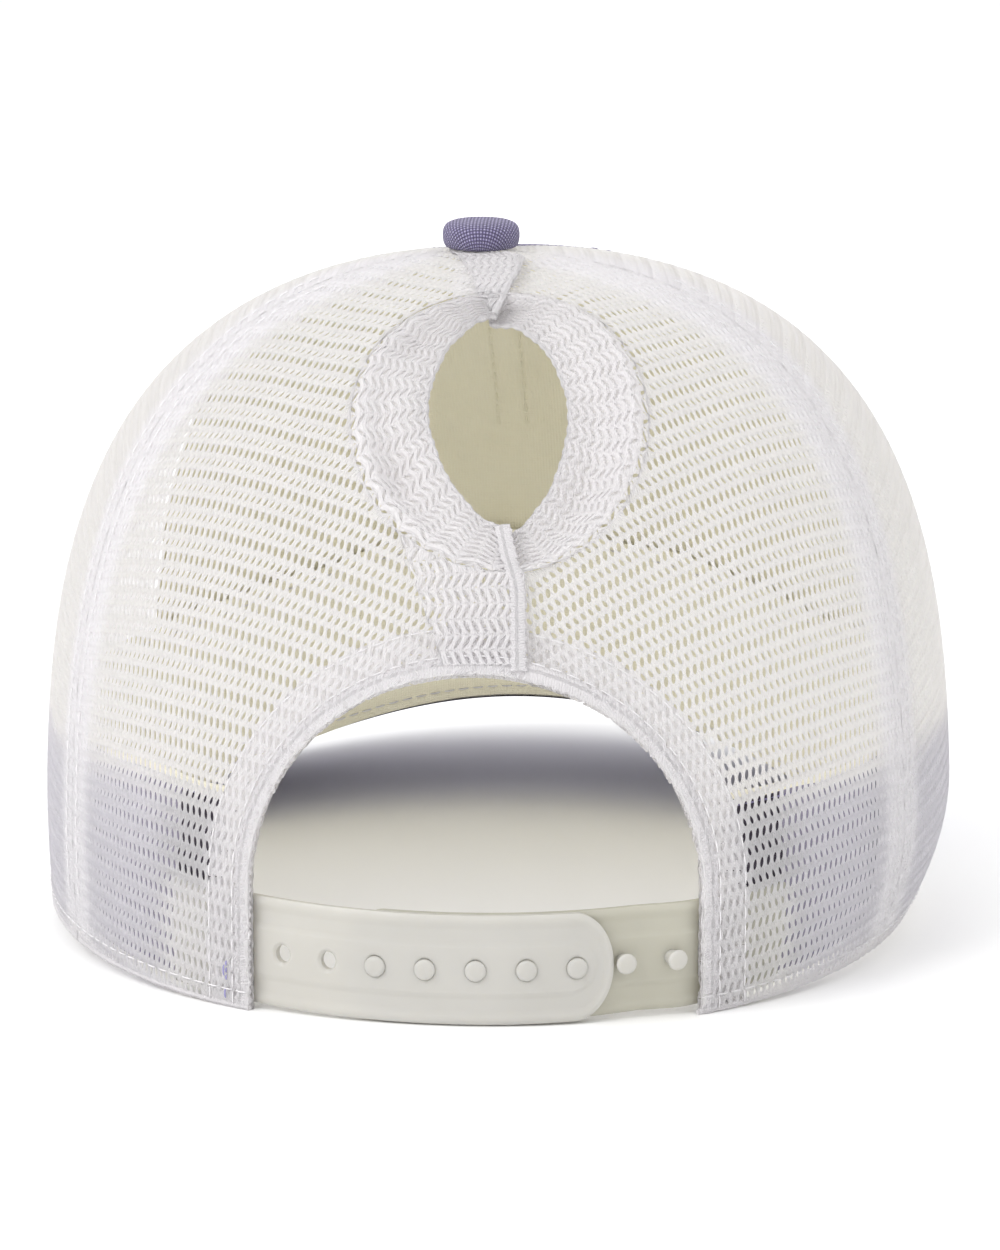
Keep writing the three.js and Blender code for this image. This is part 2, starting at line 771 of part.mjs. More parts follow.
function restingTilt() {
  let [level, steep] = [0, TILT_SEARCH.most * DEG];
  for (let i = 0; i < TILT_SEARCH.steps; i++) {
    const tilt = (level + steep) / 2;
    if (lowest(tilt, -1) < lowest(tilt, 1)) {
      level = tilt;
    } else {
      steep = tilt;
    }
  }
  return (level + steep) / 2;
}

const tilt = restingTilt();
cap.rotation.x = -tilt;
cap.updateMatrixWorld(true);
const box = new THREE.Box3().setFromObject(cap, true);
cap.position.set(-(box.min.x + box.max.x) / 2, -(box.min.y + box.max.y) / 2, -box.min.z);

const truckerCap = new THREE.Group();
truckerCap.add(cap);

export default truckerCap;
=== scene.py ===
import math

import bpy
import numpy as np
from mathutils import Matrix, Vector
from mathutils.geometry import delaunay_2d_cdt


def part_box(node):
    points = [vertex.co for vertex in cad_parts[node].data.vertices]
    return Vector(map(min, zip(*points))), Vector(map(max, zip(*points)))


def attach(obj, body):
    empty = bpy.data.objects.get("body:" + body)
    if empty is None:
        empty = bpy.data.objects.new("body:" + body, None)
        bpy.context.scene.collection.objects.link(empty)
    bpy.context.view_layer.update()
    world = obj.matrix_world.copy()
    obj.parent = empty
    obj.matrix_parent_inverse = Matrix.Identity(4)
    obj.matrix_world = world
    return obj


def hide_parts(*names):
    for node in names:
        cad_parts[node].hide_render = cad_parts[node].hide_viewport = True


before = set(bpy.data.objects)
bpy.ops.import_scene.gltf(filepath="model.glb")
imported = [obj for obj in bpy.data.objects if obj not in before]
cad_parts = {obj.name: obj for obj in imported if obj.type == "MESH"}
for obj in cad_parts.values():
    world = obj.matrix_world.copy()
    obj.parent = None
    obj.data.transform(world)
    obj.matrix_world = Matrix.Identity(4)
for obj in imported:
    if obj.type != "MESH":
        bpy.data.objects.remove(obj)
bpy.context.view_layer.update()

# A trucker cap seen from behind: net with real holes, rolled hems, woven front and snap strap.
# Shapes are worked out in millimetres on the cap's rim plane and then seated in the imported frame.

DEG = math.pi / 180
MM = 0.001


# Small helpers.

def ramp(value, start, end):
    share = np.clip((value - start) / (end - start), 0, 1)
    return share * share * (3 - 2 * share)


def lerp(a, b, share):
    return a + (b - a) * share


def unit(v):
    return v / np.maximum(np.linalg.norm(v, axis=-1, keepdims=True), 1e-9)


def arc_lengths(line):
    """How far along a line its points lie, or along each column of a grid."""
    steps = np.linalg.norm(np.diff(line, axis=0), axis=-1)
    return np.concatenate([0 * steps[:1], np.cumsum(steps, axis=0)])


def rows_at(at, arc, rows):
    return np.stack([np.interp(at, arc, column) for column in rows.T], -1)


def grid_at(grid, row, column):
    """Values between the points of a grid, at rows and columns that need not be whole."""
    low_row = np.minimum(row.astype(int), grid.shape[0] - 2)
    low_column = np.minimum(column.astype(int), grid.shape[1] - 2)
    down, along = (row - low_row)[:, None], (column - low_column)[:, None]
    rows = low_row, low_row + 1
    upper, lower = (lerp(grid[at, low_column], grid[at, low_column + 1], along) for at in rows)
    return lerp(upper, lower, down)


def smooth(rows, times):
    """Evens rows out in place. The first and the last stay."""
    for _ in range(times):
        rows[1:-1] = (rows[:-2] + 2 * rows[1:-1] + rows[2:]) / 4


def swapped(values, chosen, new):
    values = values.copy()
    values[chosen] = new
    return values


def pairs(first, second):
    """Each number of one row with each of another, as a grid."""
    return np.stack(np.meshgrid(first, second, indexing="ij"), -1)


def turned(angle, start, end):
    """Directions turned from start towards end."""
    return np.cos(angle)[:, None] * start + np.sin(angle)[:, None] * end


def turns_round(count):
    return np.arange(count) / count * math.tau


def halved(shape, low, high, steps, past):
    """The values between low and high where past turns true, by halving."""
    low, high = np.full(shape, float(low)), np.full(shape, float(high))
    for _ in range(steps):
        middle = (low + high) / 2
        over = past(middle)
        high = np.where(over, middle, high)
        low = np.where(over, low, middle)
    return low


def lathe(profile, count):
    """Rings round the upright axis, from a profile of radii and heights."""
    radius, height = np.array(profile).T[..., None]
    turns = turns_round(count)
    return np.stack([radius * np.sin(turns), radius * np.cos(turns), height + 0 * turns], -1)


# Crown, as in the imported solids.
HALF_WIDTH = 85.0
HALF_LENGTH = 99.0
HEIGHT = 120.5
TOP_LEAN = 3.35
REACH_POWER = {"mean": 1.86, "fore_aft": 0.55, "fourfold": -0.5, "left": -0.25, "front": 0.8}
RISE_POWER = {"mean": 3.22, "fore_aft": -1.01, "fourfold": 0.0, "left": -0.09, "front": -1.3}
TUCK = {"below": 24.0, "left": 0.8, "right": 7.0}
FRONT_ARCH = {"lift": 12.0, "half_angle": 60 * DEG}
BACK_SEAM = {"at_rim": 62 * DEG, "climb": 10 * DEG, "power": 1.2}
FRONT_SEAM = 122 * DEG
TOP_HOLE = 4.0
LAYER = 1.3
TILT = 3.0436 * DEG

# Laps and hems.
LAP = {"right": 4.0, "most_turn": 0.75, "dip": 1.5, "dip_start": 21.0, "dip_end": 12.0, "seam": (0.4, 4.2)}
# The left panel's free edge: how far past the middle it lies at a climb from the rim.
LAP_CLIMB = [0.0, 0.49, 0.63, 0.675, 0.718, 1.194, 1.221, 1.257, 1.297, 1.346, 1.404, 1.482, 1.571]
LAP_PAST = [11.0, 9.6, 9.5, 8.5, 5.2, 3.2, 4.5, 5.9, 6.9, 7.6, 8.2, 8.7, 8.8]
HEM_DIP = {"right": 25.0, "right_end": 15.0, "left_end": 8.0, "left": 16.0}
ARCH = {"half": 39.3, "spring": 22.0, "rise": 38.3, "hem": 8.2}

# The ponytail eye, laid out in a plane of its own.
EYE = {"wide": 25.6, "long": 32.0, "hole_wide": 12.3, "hole_long": 25.2, "hole_power": 1.7, "hole_rise": 3.0}
EYE_CENTER = np.array([-2.6, 55.8, 98.6])
EYE_DOWN = unit(np.array([-0.1, 0.78, -0.617]))
EYE_ACROSS = unit(np.array([1.0, 0, 0]) - EYE_DOWN[0] * EYE_DOWN)
EYE_OUT = np.cross(EYE_ACROSS, EYE_DOWN)
EYE_OUT = EYE_OUT * np.sign(EYE_OUT[2])
# The panels rise towards the lips, this far out from the eye as a share of its size.
EYE_SWELL = {"height": 1.7, "reach": 1.45}
LIP_SPANS = {"left": (-8 * DEG, 183 * DEG), "right": (174 * DEG, 361 * DEG)}
LIP_SHARE = [-0.06, 0.0, 0.14, 0.34, 0.66, 1.0]
LIP_LIFT = [1.5, 1.95, 2.8, 1.2, -1.0, -2.1]
LIP_COLUMNS = 9
# Hollows and puffs of the soft lips: degrees round the eye, share of the way in, the spread of each
# and the height.
LIP_FOLDS = [
    (112, 0.40, 26, 0.22, -3.6), (76, 0.66, 20, 0.26, 2.0), (40, 0.42, 16, 0.22, -2.0),
    (150, 0.55, 18, 0.28, 0.9), (228, 0.55, 34, 0.34, -3.4), (262, 0.12, 40, 0.14, 1.3),
    (305, 0.50, 24, 0.26, 1.1),
]
LIP_RIPPLE = {"height": 0.28, "turns": 11, "shares": 6}
# The ends of the left lip lie flat on top, and those of the right lip tuck in under them.
LIP_ENDS = {
    "left": {"lift": (0.9, -1.3), "ends": ((-8 * DEG, 36 * DEG), (183 * DEG, 24 * DEG))},
    "right": {"lift": (-1.5, -3.6), "ends": ((352 * DEG, 17 * DEG), (183 * DEG, 19 * DEG))},
}

# The left panel's free edge, folded flat: the climbs that it runs over and the lip's end that it meets.
FOLDS = {
    "upper": {"climbs": (1.5, 1.3), "lip_end": 0, "proud": 0.35, "wide": 0.6},
    "lower": {"climbs": (0.2, 0.62), "lip_end": 1, "proud": 0.38, "wide": 1.4},
}
# The flap beside it: how broad it is at the top and where it meets the lip, how far it turns round
# the eye there and at the hole, and how far it stands off.
FLAP = {"top": 13.5, "at_lip": 7.0, "lip_turn": 16 * DEG, "hole_turn": 4 * DEG, "proud": 0.45}
# Fold and flap both lie this far above the panel.
ON_TOP = 0.15

# Net: staggered rows of slanted holes between zigzag strands, and doubled net with rows that line up.
NET = {
    "wide": 1.475, "tall": 2.65, "hexed": 0.42, "proud": 0.1, "sink": 0.2, "thick": 0.28, "shut_sink": 0.15,
}
# Its holes, in even rows and in odd ones.
HOLES = {"half": (0.48, 0.38), "tall": (0.95, 0.8), "slant": (0.24, -0.2), "taper": (0.0, -0.25)}
DOUBLED = {"hexed": 0.1, "sink": 0.35, "half": 0.36, "tall": 1.05}
# A point that its limits move by less than this lies inside them.
STILL = 0.02

# Rows of stitches: the least length of a stitch, the gap after it and the thread's half thickness.
STITCH = {
    "net": (2.4, 0.7, 0.13), "bartack": (0.9, 0.35, 0.16), "band": (2.2, 0.8, 0.18),
    "front": (2.6, 0.7, 0.15), "lining": (2.6, 0.7, 0.2), "peak": (3.0, 0.8, 0.22),
}

# Sweatband.
BAND = {"end": 32 * DEG, "foot": 1.0, "height": 37.0, "thick": 1.0, "depth": 3.45, "deeper": 0.95}
# Snap strap. Its pitch and the places on its two halves are in degrees from the back.
STRAP = {"bottom": 0.8, "height": 19.4, "thick": 1.3, "depth": 2.6, "under": 4.4, "pitch": 6.1, "count": 7}
OVER = {"sewn": 41.0, "first_hole": 24.0, "free": -17.2}
UNDER = {"sewn": -41.0, "first_peg": -24.8, "free": 16.0, "step_start": -27.0, "step_end": -20.0}
# Peak, and its rows of stitches as shares of the way out.
PEAK = {
    "length": 70.0, "thick": 3.0, "half": 76.0, "widest": -56.0, "power": 2.2, "bend": 120.0,
    "slope": 0.12, "root_angle": 58.0, "root_lift": 2.4, "side_blend": 10, "swell": 1.5,
}
PEAK_ROWS = (0.14, 0.27, 0.4, 0.53, 0.66, 0.79, 0.93)
# Button, as radii and heights.
BUTTON_PROFILE = [(6.1, 0.0), (6.8, 0.7), (7.1, 2.0), (6.9, 3.4), (5.7, 4.45), (3.2, 4.95), (0.0, 5.1)]
# The woven cloth drawn over it from the top down, a little fuller at the edges.
BUTTON_CLOTH = [
    (0.0, 5.15), (2.6, 5.1), (5.2, 4.85), (6.5, 4.3), (7.05, 3.4), (7.15, 2.0), (6.95, 0.7), (6.5, 0.0),
    (5.4, -0.15),
]
BUTTON_PLACE = np.array([TOP_LEAN, 0, HEIGHT + 0.3])


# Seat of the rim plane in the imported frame.

def tilted(points):
    """Points leaned back as the cap rests, still in millimetres."""
    x, y, z = np.moveaxis(points, -1, 0)
    cos, sin = math.cos(TILT), math.sin(TILT)
    return np.stack([x, y * cos + z * sin, z * cos - y * sin], -1)


def seat_offset():
    """Where the rim plane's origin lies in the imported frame, from the button's box."""
    points = tilted(lathe(BUTTON_PROFILE, 20) + BUTTON_PLACE).reshape(-1, 3)
    low, high = (np.array(corner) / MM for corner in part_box("button"))
    return (low + high) / 2 - (points.min(axis=0) + points.max(axis=0)) / 2


SEAT = seat_offset()


def seat(points):
    return (tilted(points) + SEAT) * MM


# Crown surface.

def power_at(power, az):
    ahead = np.maximum(0, -np.cos(az))
    return (power["mean"] + power["fore_aft"] * np.cos(az) + power["fourfold"] * np.cos(2 * az)
            + power["left"] * np.sin(az) + power["front"] * ahead * ahead)


def drawn_in(az, z):
    side = np.sin(az)
    tuck = np.where(side > 0, TUCK["left"], TUCK["right"]) / HALF_WIDTH * side * side
    return 1 - tuck * np.maximum(0, 1 - z / TUCK["below"]) ** 2


def crown(az, climb):
    reach = np.maximum(np.cos(climb), 0) ** (2 / power_at(REACH_POWER, az))
    rise = np.maximum(np.sin(climb), 0) ** (2 / power_at(RISE_POWER, az))
    z = HEIGHT * rise
    drawn = drawn_in(az, z)
    x = TOP_LEAN * rise * rise + HALF_WIDTH * drawn * reach * np.sin(az)
    return np.stack([x, HALF_LENGTH * drawn * reach * np.cos(az), z], -1)


def crown_normal(az, climb):
    step = 0.004
    around = crown(az + step, climb) - crown(az - step, climb)
    low, high = np.maximum(0, climb - step), np.minimum(math.pi / 2, climb + step)
    return unit(np.cross(crown(az, high) - crown(az, low), around))


def sunk(az, climb, depth):
    az, climb, depth = np.broadcast_arrays(az, climb, depth)
    return crown(az, climb) - crown_normal(az, climb) * depth[..., None]


def crown_line(az, climb, depth):
    """Points of a line sunk into the crown, and the crown's normals there."""
    az, climb = np.broadcast_arrays(az, climb)
    return sunk(az, climb, depth), crown_normal(az, climb)


def climb_at(az, z):
    return np.arcsin(np.clip(z / HEIGHT, 0, 1) ** (power_at(RISE_POWER, az) / 2))


def climb_at_radius(az, radius):
    return np.arccos((radius / HALF_WIDTH) ** (power_at(REACH_POWER, az) / 2))


def rim_height(az):
    share = np.minimum(1, np.abs(math.pi - np.abs(az)) / FRONT_ARCH["half_angle"])
    return FRONT_ARCH["lift"] * np.cos(share * math.pi / 2) ** 2


def crown_angles(p):
    """The angle from the back and the climb of points on the crown, and how far outside it they are."""
    rise = np.clip(p[..., 2] / HEIGHT, 0, 1)
    side = (p[..., 0] - TOP_LEAN * rise * rise) / HALF_WIDTH
    fore = p[..., 1] / HALF_LENGTH
    az = np.arctan2(side, fore)
    reach = (np.hypot(side, fore) / drawn_in(az, p[..., 2])) ** (power_at(REACH_POWER, az) / 2)
    rise = rise ** (power_at(RISE_POWER, az) / 2)
    return az, np.arctan2(rise, reach), reach * reach + rise * rise - 1


def meet_crown(start, direction, near, far):
    """Where lines meet the crown, between two distances along them."""
    start, direction = np.broadcast_arrays(start, direction)

    def outside(distance):
        return crown_angles(start + direction * distance[..., None])[2] > 0
    return start + direction * halved(start.shape[:-1], near, far, 24, outside)[..., None]


# Seams and laps.

def reach_at(climb):
    return HALF_WIDTH * np.cos(climb) ** (2 / REACH_POWER["mean"])


def back_seam(climb):
    return BACK_SEAM["at_rim"] + BACK_SEAM["climb"] * np.sin(climb) ** BACK_SEAM["power"]


def az_at_side(offset, climb, most):
    az = 0.0 * climb
    for _ in range(4):
        reach = HALF_WIDTH * np.maximum(np.cos(climb), 0) ** (2 / power_at(REACH_POWER, az))
        az = np.arcsin(np.clip(offset / np.maximum(reach, 1e-6), -most, most))
    return az


def side_offset(az, climb):
    rise = np.sin(climb) ** (2 / power_at(RISE_POWER, az))
    return crown(az, climb)[..., 0] - TOP_LEAN * rise * rise


def left_lap(climb):
    return az_at_side(-np.interp(climb, LAP_CLIMB, LAP_PAST), climb, LAP["most_turn"])


def right_lap_mirrored(climb):
    return -az_at_side(LAP["right"], climb, LAP["most_turn"])


def flat_depth(az, climb):
    return 0 * az


def right_panel_depth(az, climb):
    dip = LAP["dip"] * ramp(side_offset(az, climb), -LAP["dip_start"], -LAP["dip_end"])
    return dip * ramp((az + back_seam(climb)) * reach_at(climb), *LAP["seam"])


def hem_depth(az, climb):
    offset = side_offset(az, climb)
    right = ramp(offset, -HEM_DIP["right"], -HEM_DIP["right_end"])
    left = ramp(offset, HEM_DIP["left"], HEM_DIP["left_end"])
    return LAYER + LAP["dip"] * np.minimum(right, left)


# Limits of a panel: each one pulls points that lie past it back onto it.

def between(low, high, side=1):
    """Keeps points between two lines of the left side, or between the same lines mirrored."""
    def limit(az, climb):
        return side * np.clip(side * az, low(climb), high(climb)), climb
    return limit


def above_rim(az, climb):
    return az, np.maximum(climb, climb_at(az, rim_height(az)))


def below_top(az, climb):
    return az, np.minimum(climb, climb_at_radius(az, TOP_HOLE))


def back_at(x, z):
    """The crown's angles at a sideways place and a height, on its back half."""
    az = halved(x.shape, -95 * DEG, 95 * DEG, 26, lambda az: crown(az, climb_at(az, z))[:, 0] > x)
    return az, climb_at(az, z)


def arch_reach(x, z, margin=0.0):
    """How far out points lie from the arch's middle: 1 on its outline, at some margin."""
    half, rise = ARCH["half"] + margin, ARCH["rise"] + margin
    above = np.hypot(x / half, (z - ARCH["spring"]) / rise)
    return np.where(z < ARCH["spring"], np.abs(x) / half, above)


def arch_limit(margin, outside):
    """Keeps points outside the arch's outline, or inside it, at some margin."""
    def limit(az, climb):
        p = crown(az, climb)
        reach = arch_reach(p[:, 0], p[:, 2], margin)
        wrong = (p[:, 1] > 0) & (reach < 1 if outside else reach > 1)
        reach, x, z = np.maximum(reach[wrong], 1e-6), p[wrong, 0], p[wrong, 2]
        moved_z = np.where(z < ARCH["spring"], z, ARCH["spring"] + (z - ARCH["spring"]) / reach)
        moved_az, moved_climb = back_at(x / reach, moved_z)
        return swapped(az, wrong, moved_az), swapped(climb, wrong, moved_climb)
    return limit


def eye_spot(across, down):
    """Points of the crown straight out of the ponytail eye's own plane."""
    start = EYE_CENTER + across[..., None] * EYE_ACROSS + down[..., None] * EYE_DOWN
    return meet_crown(start, EYE_OUT, -40, 30)


def eye_reach(az, climb):
    """Places in the eye's plane, and how far out they lie as a share of the eye's size."""
    rel = crown(az, climb) - EYE_CENTER
    across, down, out = rel @ EYE_ACROSS, rel @ EYE_DOWN, rel @ EYE_OUT
    reach = np.hypot(across / EYE["wide"], down / EYE["long"])
    return across, down, np.where(np.abs(out) < 20, reach, 9)


def swelling(depth):
    """A panel's depth, with the cloth rising towards the lips."""
    def at(az, climb):
        reach = eye_reach(az, climb)[2]
        return depth(az, climb) - EYE_SWELL["height"] * (1 - ramp(reach, 1.0, EYE_SWELL["reach"]))
    return at


def outside_eye(az, climb):
    across, down, reach = eye_reach(az, climb)
    wrong = reach < 1
    scale = 1 / np.maximum(reach[wrong], 1e-6)
    moved_az, moved_climb, _ = crown_angles(eye_spot(across[wrong] * scale, down[wrong] * scale))
    return swapped(az, wrong, moved_az), swapped(climb, wrong, moved_climb)


# Net cloth laid on a gore: rows run square to the gore's middle line.

def gore(center, limits, depth, skew=0.0):
    """Lays cloth on the crown. skew turns its rows up towards one side."""
    ahead = np.array([math.sin(center), math.cos(center), 0])
    across = np.array([math.cos(center), -math.sin(center), 0])
    up = np.array([0, 0, 1])

    def straight_out(direction):
        return meet_crown(np.zeros(3), direction, 40, 180)
    theta = np.linspace(-15 * DEG, 100 * DEG, 400)
    line = straight_out(turned(theta, ahead, up))
    arc = arc_lengths(line)
    arc = arc - np.interp(0, theta, arc)
    radius = np.linalg.norm(line, axis=1)

    def place(s, t, drop):
        s, t = s * math.cos(skew) - t * math.sin(skew), t * math.cos(skew) + s * math.sin(skew)
        out = turned(np.interp(t, arc, theta), ahead, up)
        p = straight_out(turned(s / np.interp(t, arc, radius), out, across))
        az, climb, _ = crown_angles(p)
        for limit in limits:
            az, climb = limit(az, climb)
        moved = np.linalg.norm(crown(az, climb) - p, axis=1)
        return sunk(az, climb, depth(az, climb) + drop), moved
    return place


# A net cell: twelve boundary points and twelve hole points.
HEX_S = np.array([-0.5, -0.25, 0, 0.25, 0.5, 0.5, 0.5, 0.25, 0, -0.25, -0.5, -0.5])
HEX_T = np.array([-0.5, -0.5, -0.5, -0.5, -0.5, 0, 0.5, 0.5, 0.5, 0.5, 0.5, 0])
HEX_BEND = np.tile([1, 0, -1, 0], 3)
HEX_RISE = np.array([0, 1, 0, -1, 0, 0, 0, 1, 0, -1, 0, 0])
HOLE_TURN = np.radians(np.arange(12) * 30 - 150.0)


def net(place, s_span, t_span, mirror=1, open_share=1.0, kept=1.0, zigzag=0.0):
    """Points, faces and cloth coordinates of net over a span, cut to the limits of its place.

    zigzag is how far the strands swing from row to row in doubled cloth, where the rows line up.
    """
    wide, tall = NET["wide"], NET["tall"]
    rows = np.arange(math.floor(t_span[0] / tall), math.ceil(t_span[1] / tall))
    columns = np.arange(math.floor(s_span[0] / wide), math.ceil(s_span[1] / wide) + 1)
    k, j = (grid.ravel() for grid in np.meshgrid(rows, columns, indexing="ij"))
    s, t = (j + (0.0 if zigzag else 0.5) * (k % 2)) * wide, (k + 0.5) * tall
    near = place(s, t, 0 * s)[1] < kept
    s, t, odd = s[near, None], t[near, None], (k[near] % 2)[:, None]

    lean = np.where(odd == 0, 1, -1) * mirror
    edge_s = s + HEX_S * wide + lean * zigzag * HEX_T
    edge_t = t + HEX_T * tall + HEX_BEND * (DOUBLED if zigzag else NET)["hexed"]
    if zigzag:
        edge_drop = np.where(np.abs(HEX_S) == 0.5, 0.0, DOUBLED["sink"]) + 0 * edge_s
        half, tallness, slant, taper = DOUBLED["half"], DOUBLED["tall"], lean * zigzag / tall, 0.0
    else:
        # Strands that carry the zigzag on stand proud, the links across it lie low.
        edge_drop = NET["proud"] * (2 * np.abs(HEX_T) - lean * HEX_RISE)
        half, tallness, slant, taper = (np.where(odd == 0, *even_odd) for even_odd in HOLES.values())
        slant = slant * mirror
    up = tallness * open_share * np.sin(HOLE_TURN)
    hole_s = s + half * open_share * np.cos(HOLE_TURN) * (1 + taper * np.sin(HOLE_TURN)) + slant * up

    edge_uv = np.stack([edge_s, edge_t], -1).reshape(-1, 2)
    key = np.round(edge_uv * 1000).astype(np.int64)
    _, first, back = np.unique(key, axis=0, return_index=True, return_inverse=True)
    edge_uv, edge = edge_uv[first], back.reshape(-1, 12)
    edge_points, moved = place(*edge_uv.T, edge_drop.ravel()[first])
    # A cell stays where three of its boundary points or more lie inside the limits.
    keep = (moved < STILL)[edge].sum(axis=1) >= 3
    edge, hole_uv = edge[keep], np.stack([hole_s, t + up], -1)[keep]
    shut_uv = np.concatenate([s, t], axis=1)[keep]

    # It keeps its hole where all of the hole lies inside them.
    rim_points, moved = place(*hole_uv.reshape(-1, 2).T, np.full(hole_uv.size // 2, NET["sink"]))
    whole = (moved.reshape(-1, 12) < STILL).all(axis=1)
    rim_points = rim_points.reshape(-1, 12, 3)[whole].reshape(-1, 3)
    hole_uv, shut_uv = hole_uv[whole].reshape(-1, 2), shut_uv[~whole]
    wall_points, _ = place(*hole_uv.T, np.full(len(hole_uv), NET["sink"] + NET["thick"]))
    shut_points, _ = place(*shut_uv.T, np.full(len(shut_uv), NET["shut_sink"]))

    rim = len(edge_points) + np.arange(len(hole_uv)).reshape(-1, 12)
    wall = rim + len(hole_uv)
    middle = len(edge_points) + 2 * len(hole_uv) + np.arange(len(shut_uv))
    after = np.roll(np.arange(12), -1)
    faces = [
        np.stack([outer, inner, inner[:, after], outer[:, after]], -1).reshape(-1, 4)
        for outer, inner in ((edge[whole], rim), (rim, wall))
    ]
    shut = edge[~whole]
    fans = np.stack([shut, np.broadcast_to(middle[:, None], shut.shape), shut[:, after]], -1)
    return {
        "points": np.concatenate([edge_points, rim_points, wall_points, shut_points]),
        "faces": [*faces, fans.reshape(-1, 3)],
        "uv": np.concatenate([edge_uv, hole_uv, hole_uv, shut_uv]),
    }


# Lofts, rolls and stitches.

def quads_of(index, closed=False):
    """The faces between neighbours in a grid of point numbers, or in each of several grids."""
    if closed:
        index = np.concatenate([index, index[..., :1]], axis=-1)
    corners = [index[..., :-1, :-1], index[..., 1:, :-1], index[..., 1:, 1:], index[..., :-1, 1:]]
    return np.stack(corners, -1).reshape(-1, 4)


def loft(sections, closed=False, capped=False, uv=None):
    """A skin through rows of points. closed joins each row's ends, capped fills the first and last."""
    n, m, _ = sections.shape
    if uv is None:
        uv = pairs(arc_lengths(sections[:, m // 2]), arc_lengths(sections[n // 2]))
    index = np.arange(n * m).reshape(n, m)
    faces = [quads_of(index, closed)]
    points, uv = sections.reshape(-1, 3), uv.reshape(-1, 2)
    if capped:
        for loop, order in ((index[0], 1), (index[-1], -1)):
            fan = np.stack([loop, np.full(m, len(points)), np.roll(loop, -1)], -1)
            faces.append(fan[:, ::order])
            points = np.vstack([points, points[loop].mean(axis=0)])
            uv = np.vstack([uv, uv[loop].mean(axis=0)])
    return {"points": points, "faces": faces, "uv": uv}


def roll(line, out, proud, wide, sides=10, scallop=0.0, pitch=NET["tall"]):
    """A soft rolled edge along a line: proud is its half height along out, wide its half width."""
    out = np.broadcast_to(out, line.shape)
    side = unit(np.cross(unit(np.gradient(line, axis=0)), out))
    arc = arc_lengths(line)
    swell = 1 + scallop * np.cos(arc / pitch * math.tau) + 0.5 * scallop * np.sin(arc / pitch * 2.3)
    turns = turns_round(sides)
    ring = np.stack([proud * np.cos(turns), wide * np.sin(turns)], -1)
    sections = line[:, None] + swell[:, None, None] * ring @ np.stack([out, side], 1)
    return loft(sections, closed=True, capped=True, uv=pairs(arc, turns * (proud + wide) / 2))


# Cross sections of one stitch: where each lies along it, how fat it is and how high.
STITCH_ALONG = np.array([-0.5, -0.42, -0.2, 0.0, 0.2, 0.42, 0.5])[:, None]
STITCH_FAT = np.array([0.15, 0.75, 1.0, 1.0, 1.0, 0.75, 0.15])[:, None]
STITCH_LIFT = np.array([-1.0, -0.3, 0.35, 0.5, 0.35, -0.3, -1.0])[:, None]


def stitches(line, out, length, gap, thick):
    """A row of sewn stitches along a line, each a short thread that dips in at both ends."""
    arc = arc_lengths(line)
    count = max(1, int(arc[-1] // (length + gap)))
    pitch = arc[-1] / count
    centers = (np.arange(count) + 0.5) * pitch
    place, up = rows_at(centers, arc, line), unit(rows_at(centers, arc, np.broadcast_to(out, line.shape)))
    ahead = unit(rows_at(centers + 0.3, arc, line) - rows_at(centers - 0.3, arc, line))
    frames = np.stack([ahead, up, unit(np.cross(ahead, up))], 1)
    turns = turns_round(6)
    along = STITCH_ALONG * (pitch - gap)
    lift = thick * (STITCH_LIFT + STITCH_FAT * np.cos(turns))
    offsets = np.stack([along + 0 * turns, lift, thick * STITCH_FAT * np.sin(turns)], -1)
    body = place[:, None, None] + offsets @ frames[:, None]
    faces = [quads_of(np.arange(body.size // 3).reshape(body.shape[:3]), closed=True)]
    uv = np.tile(pairs(along[:, 0], turns * thick).reshape(-1, 2), (count, 1))
    return {"points": body.reshape(-1, 3), "faces": faces, "uv": uv}


# Materials.

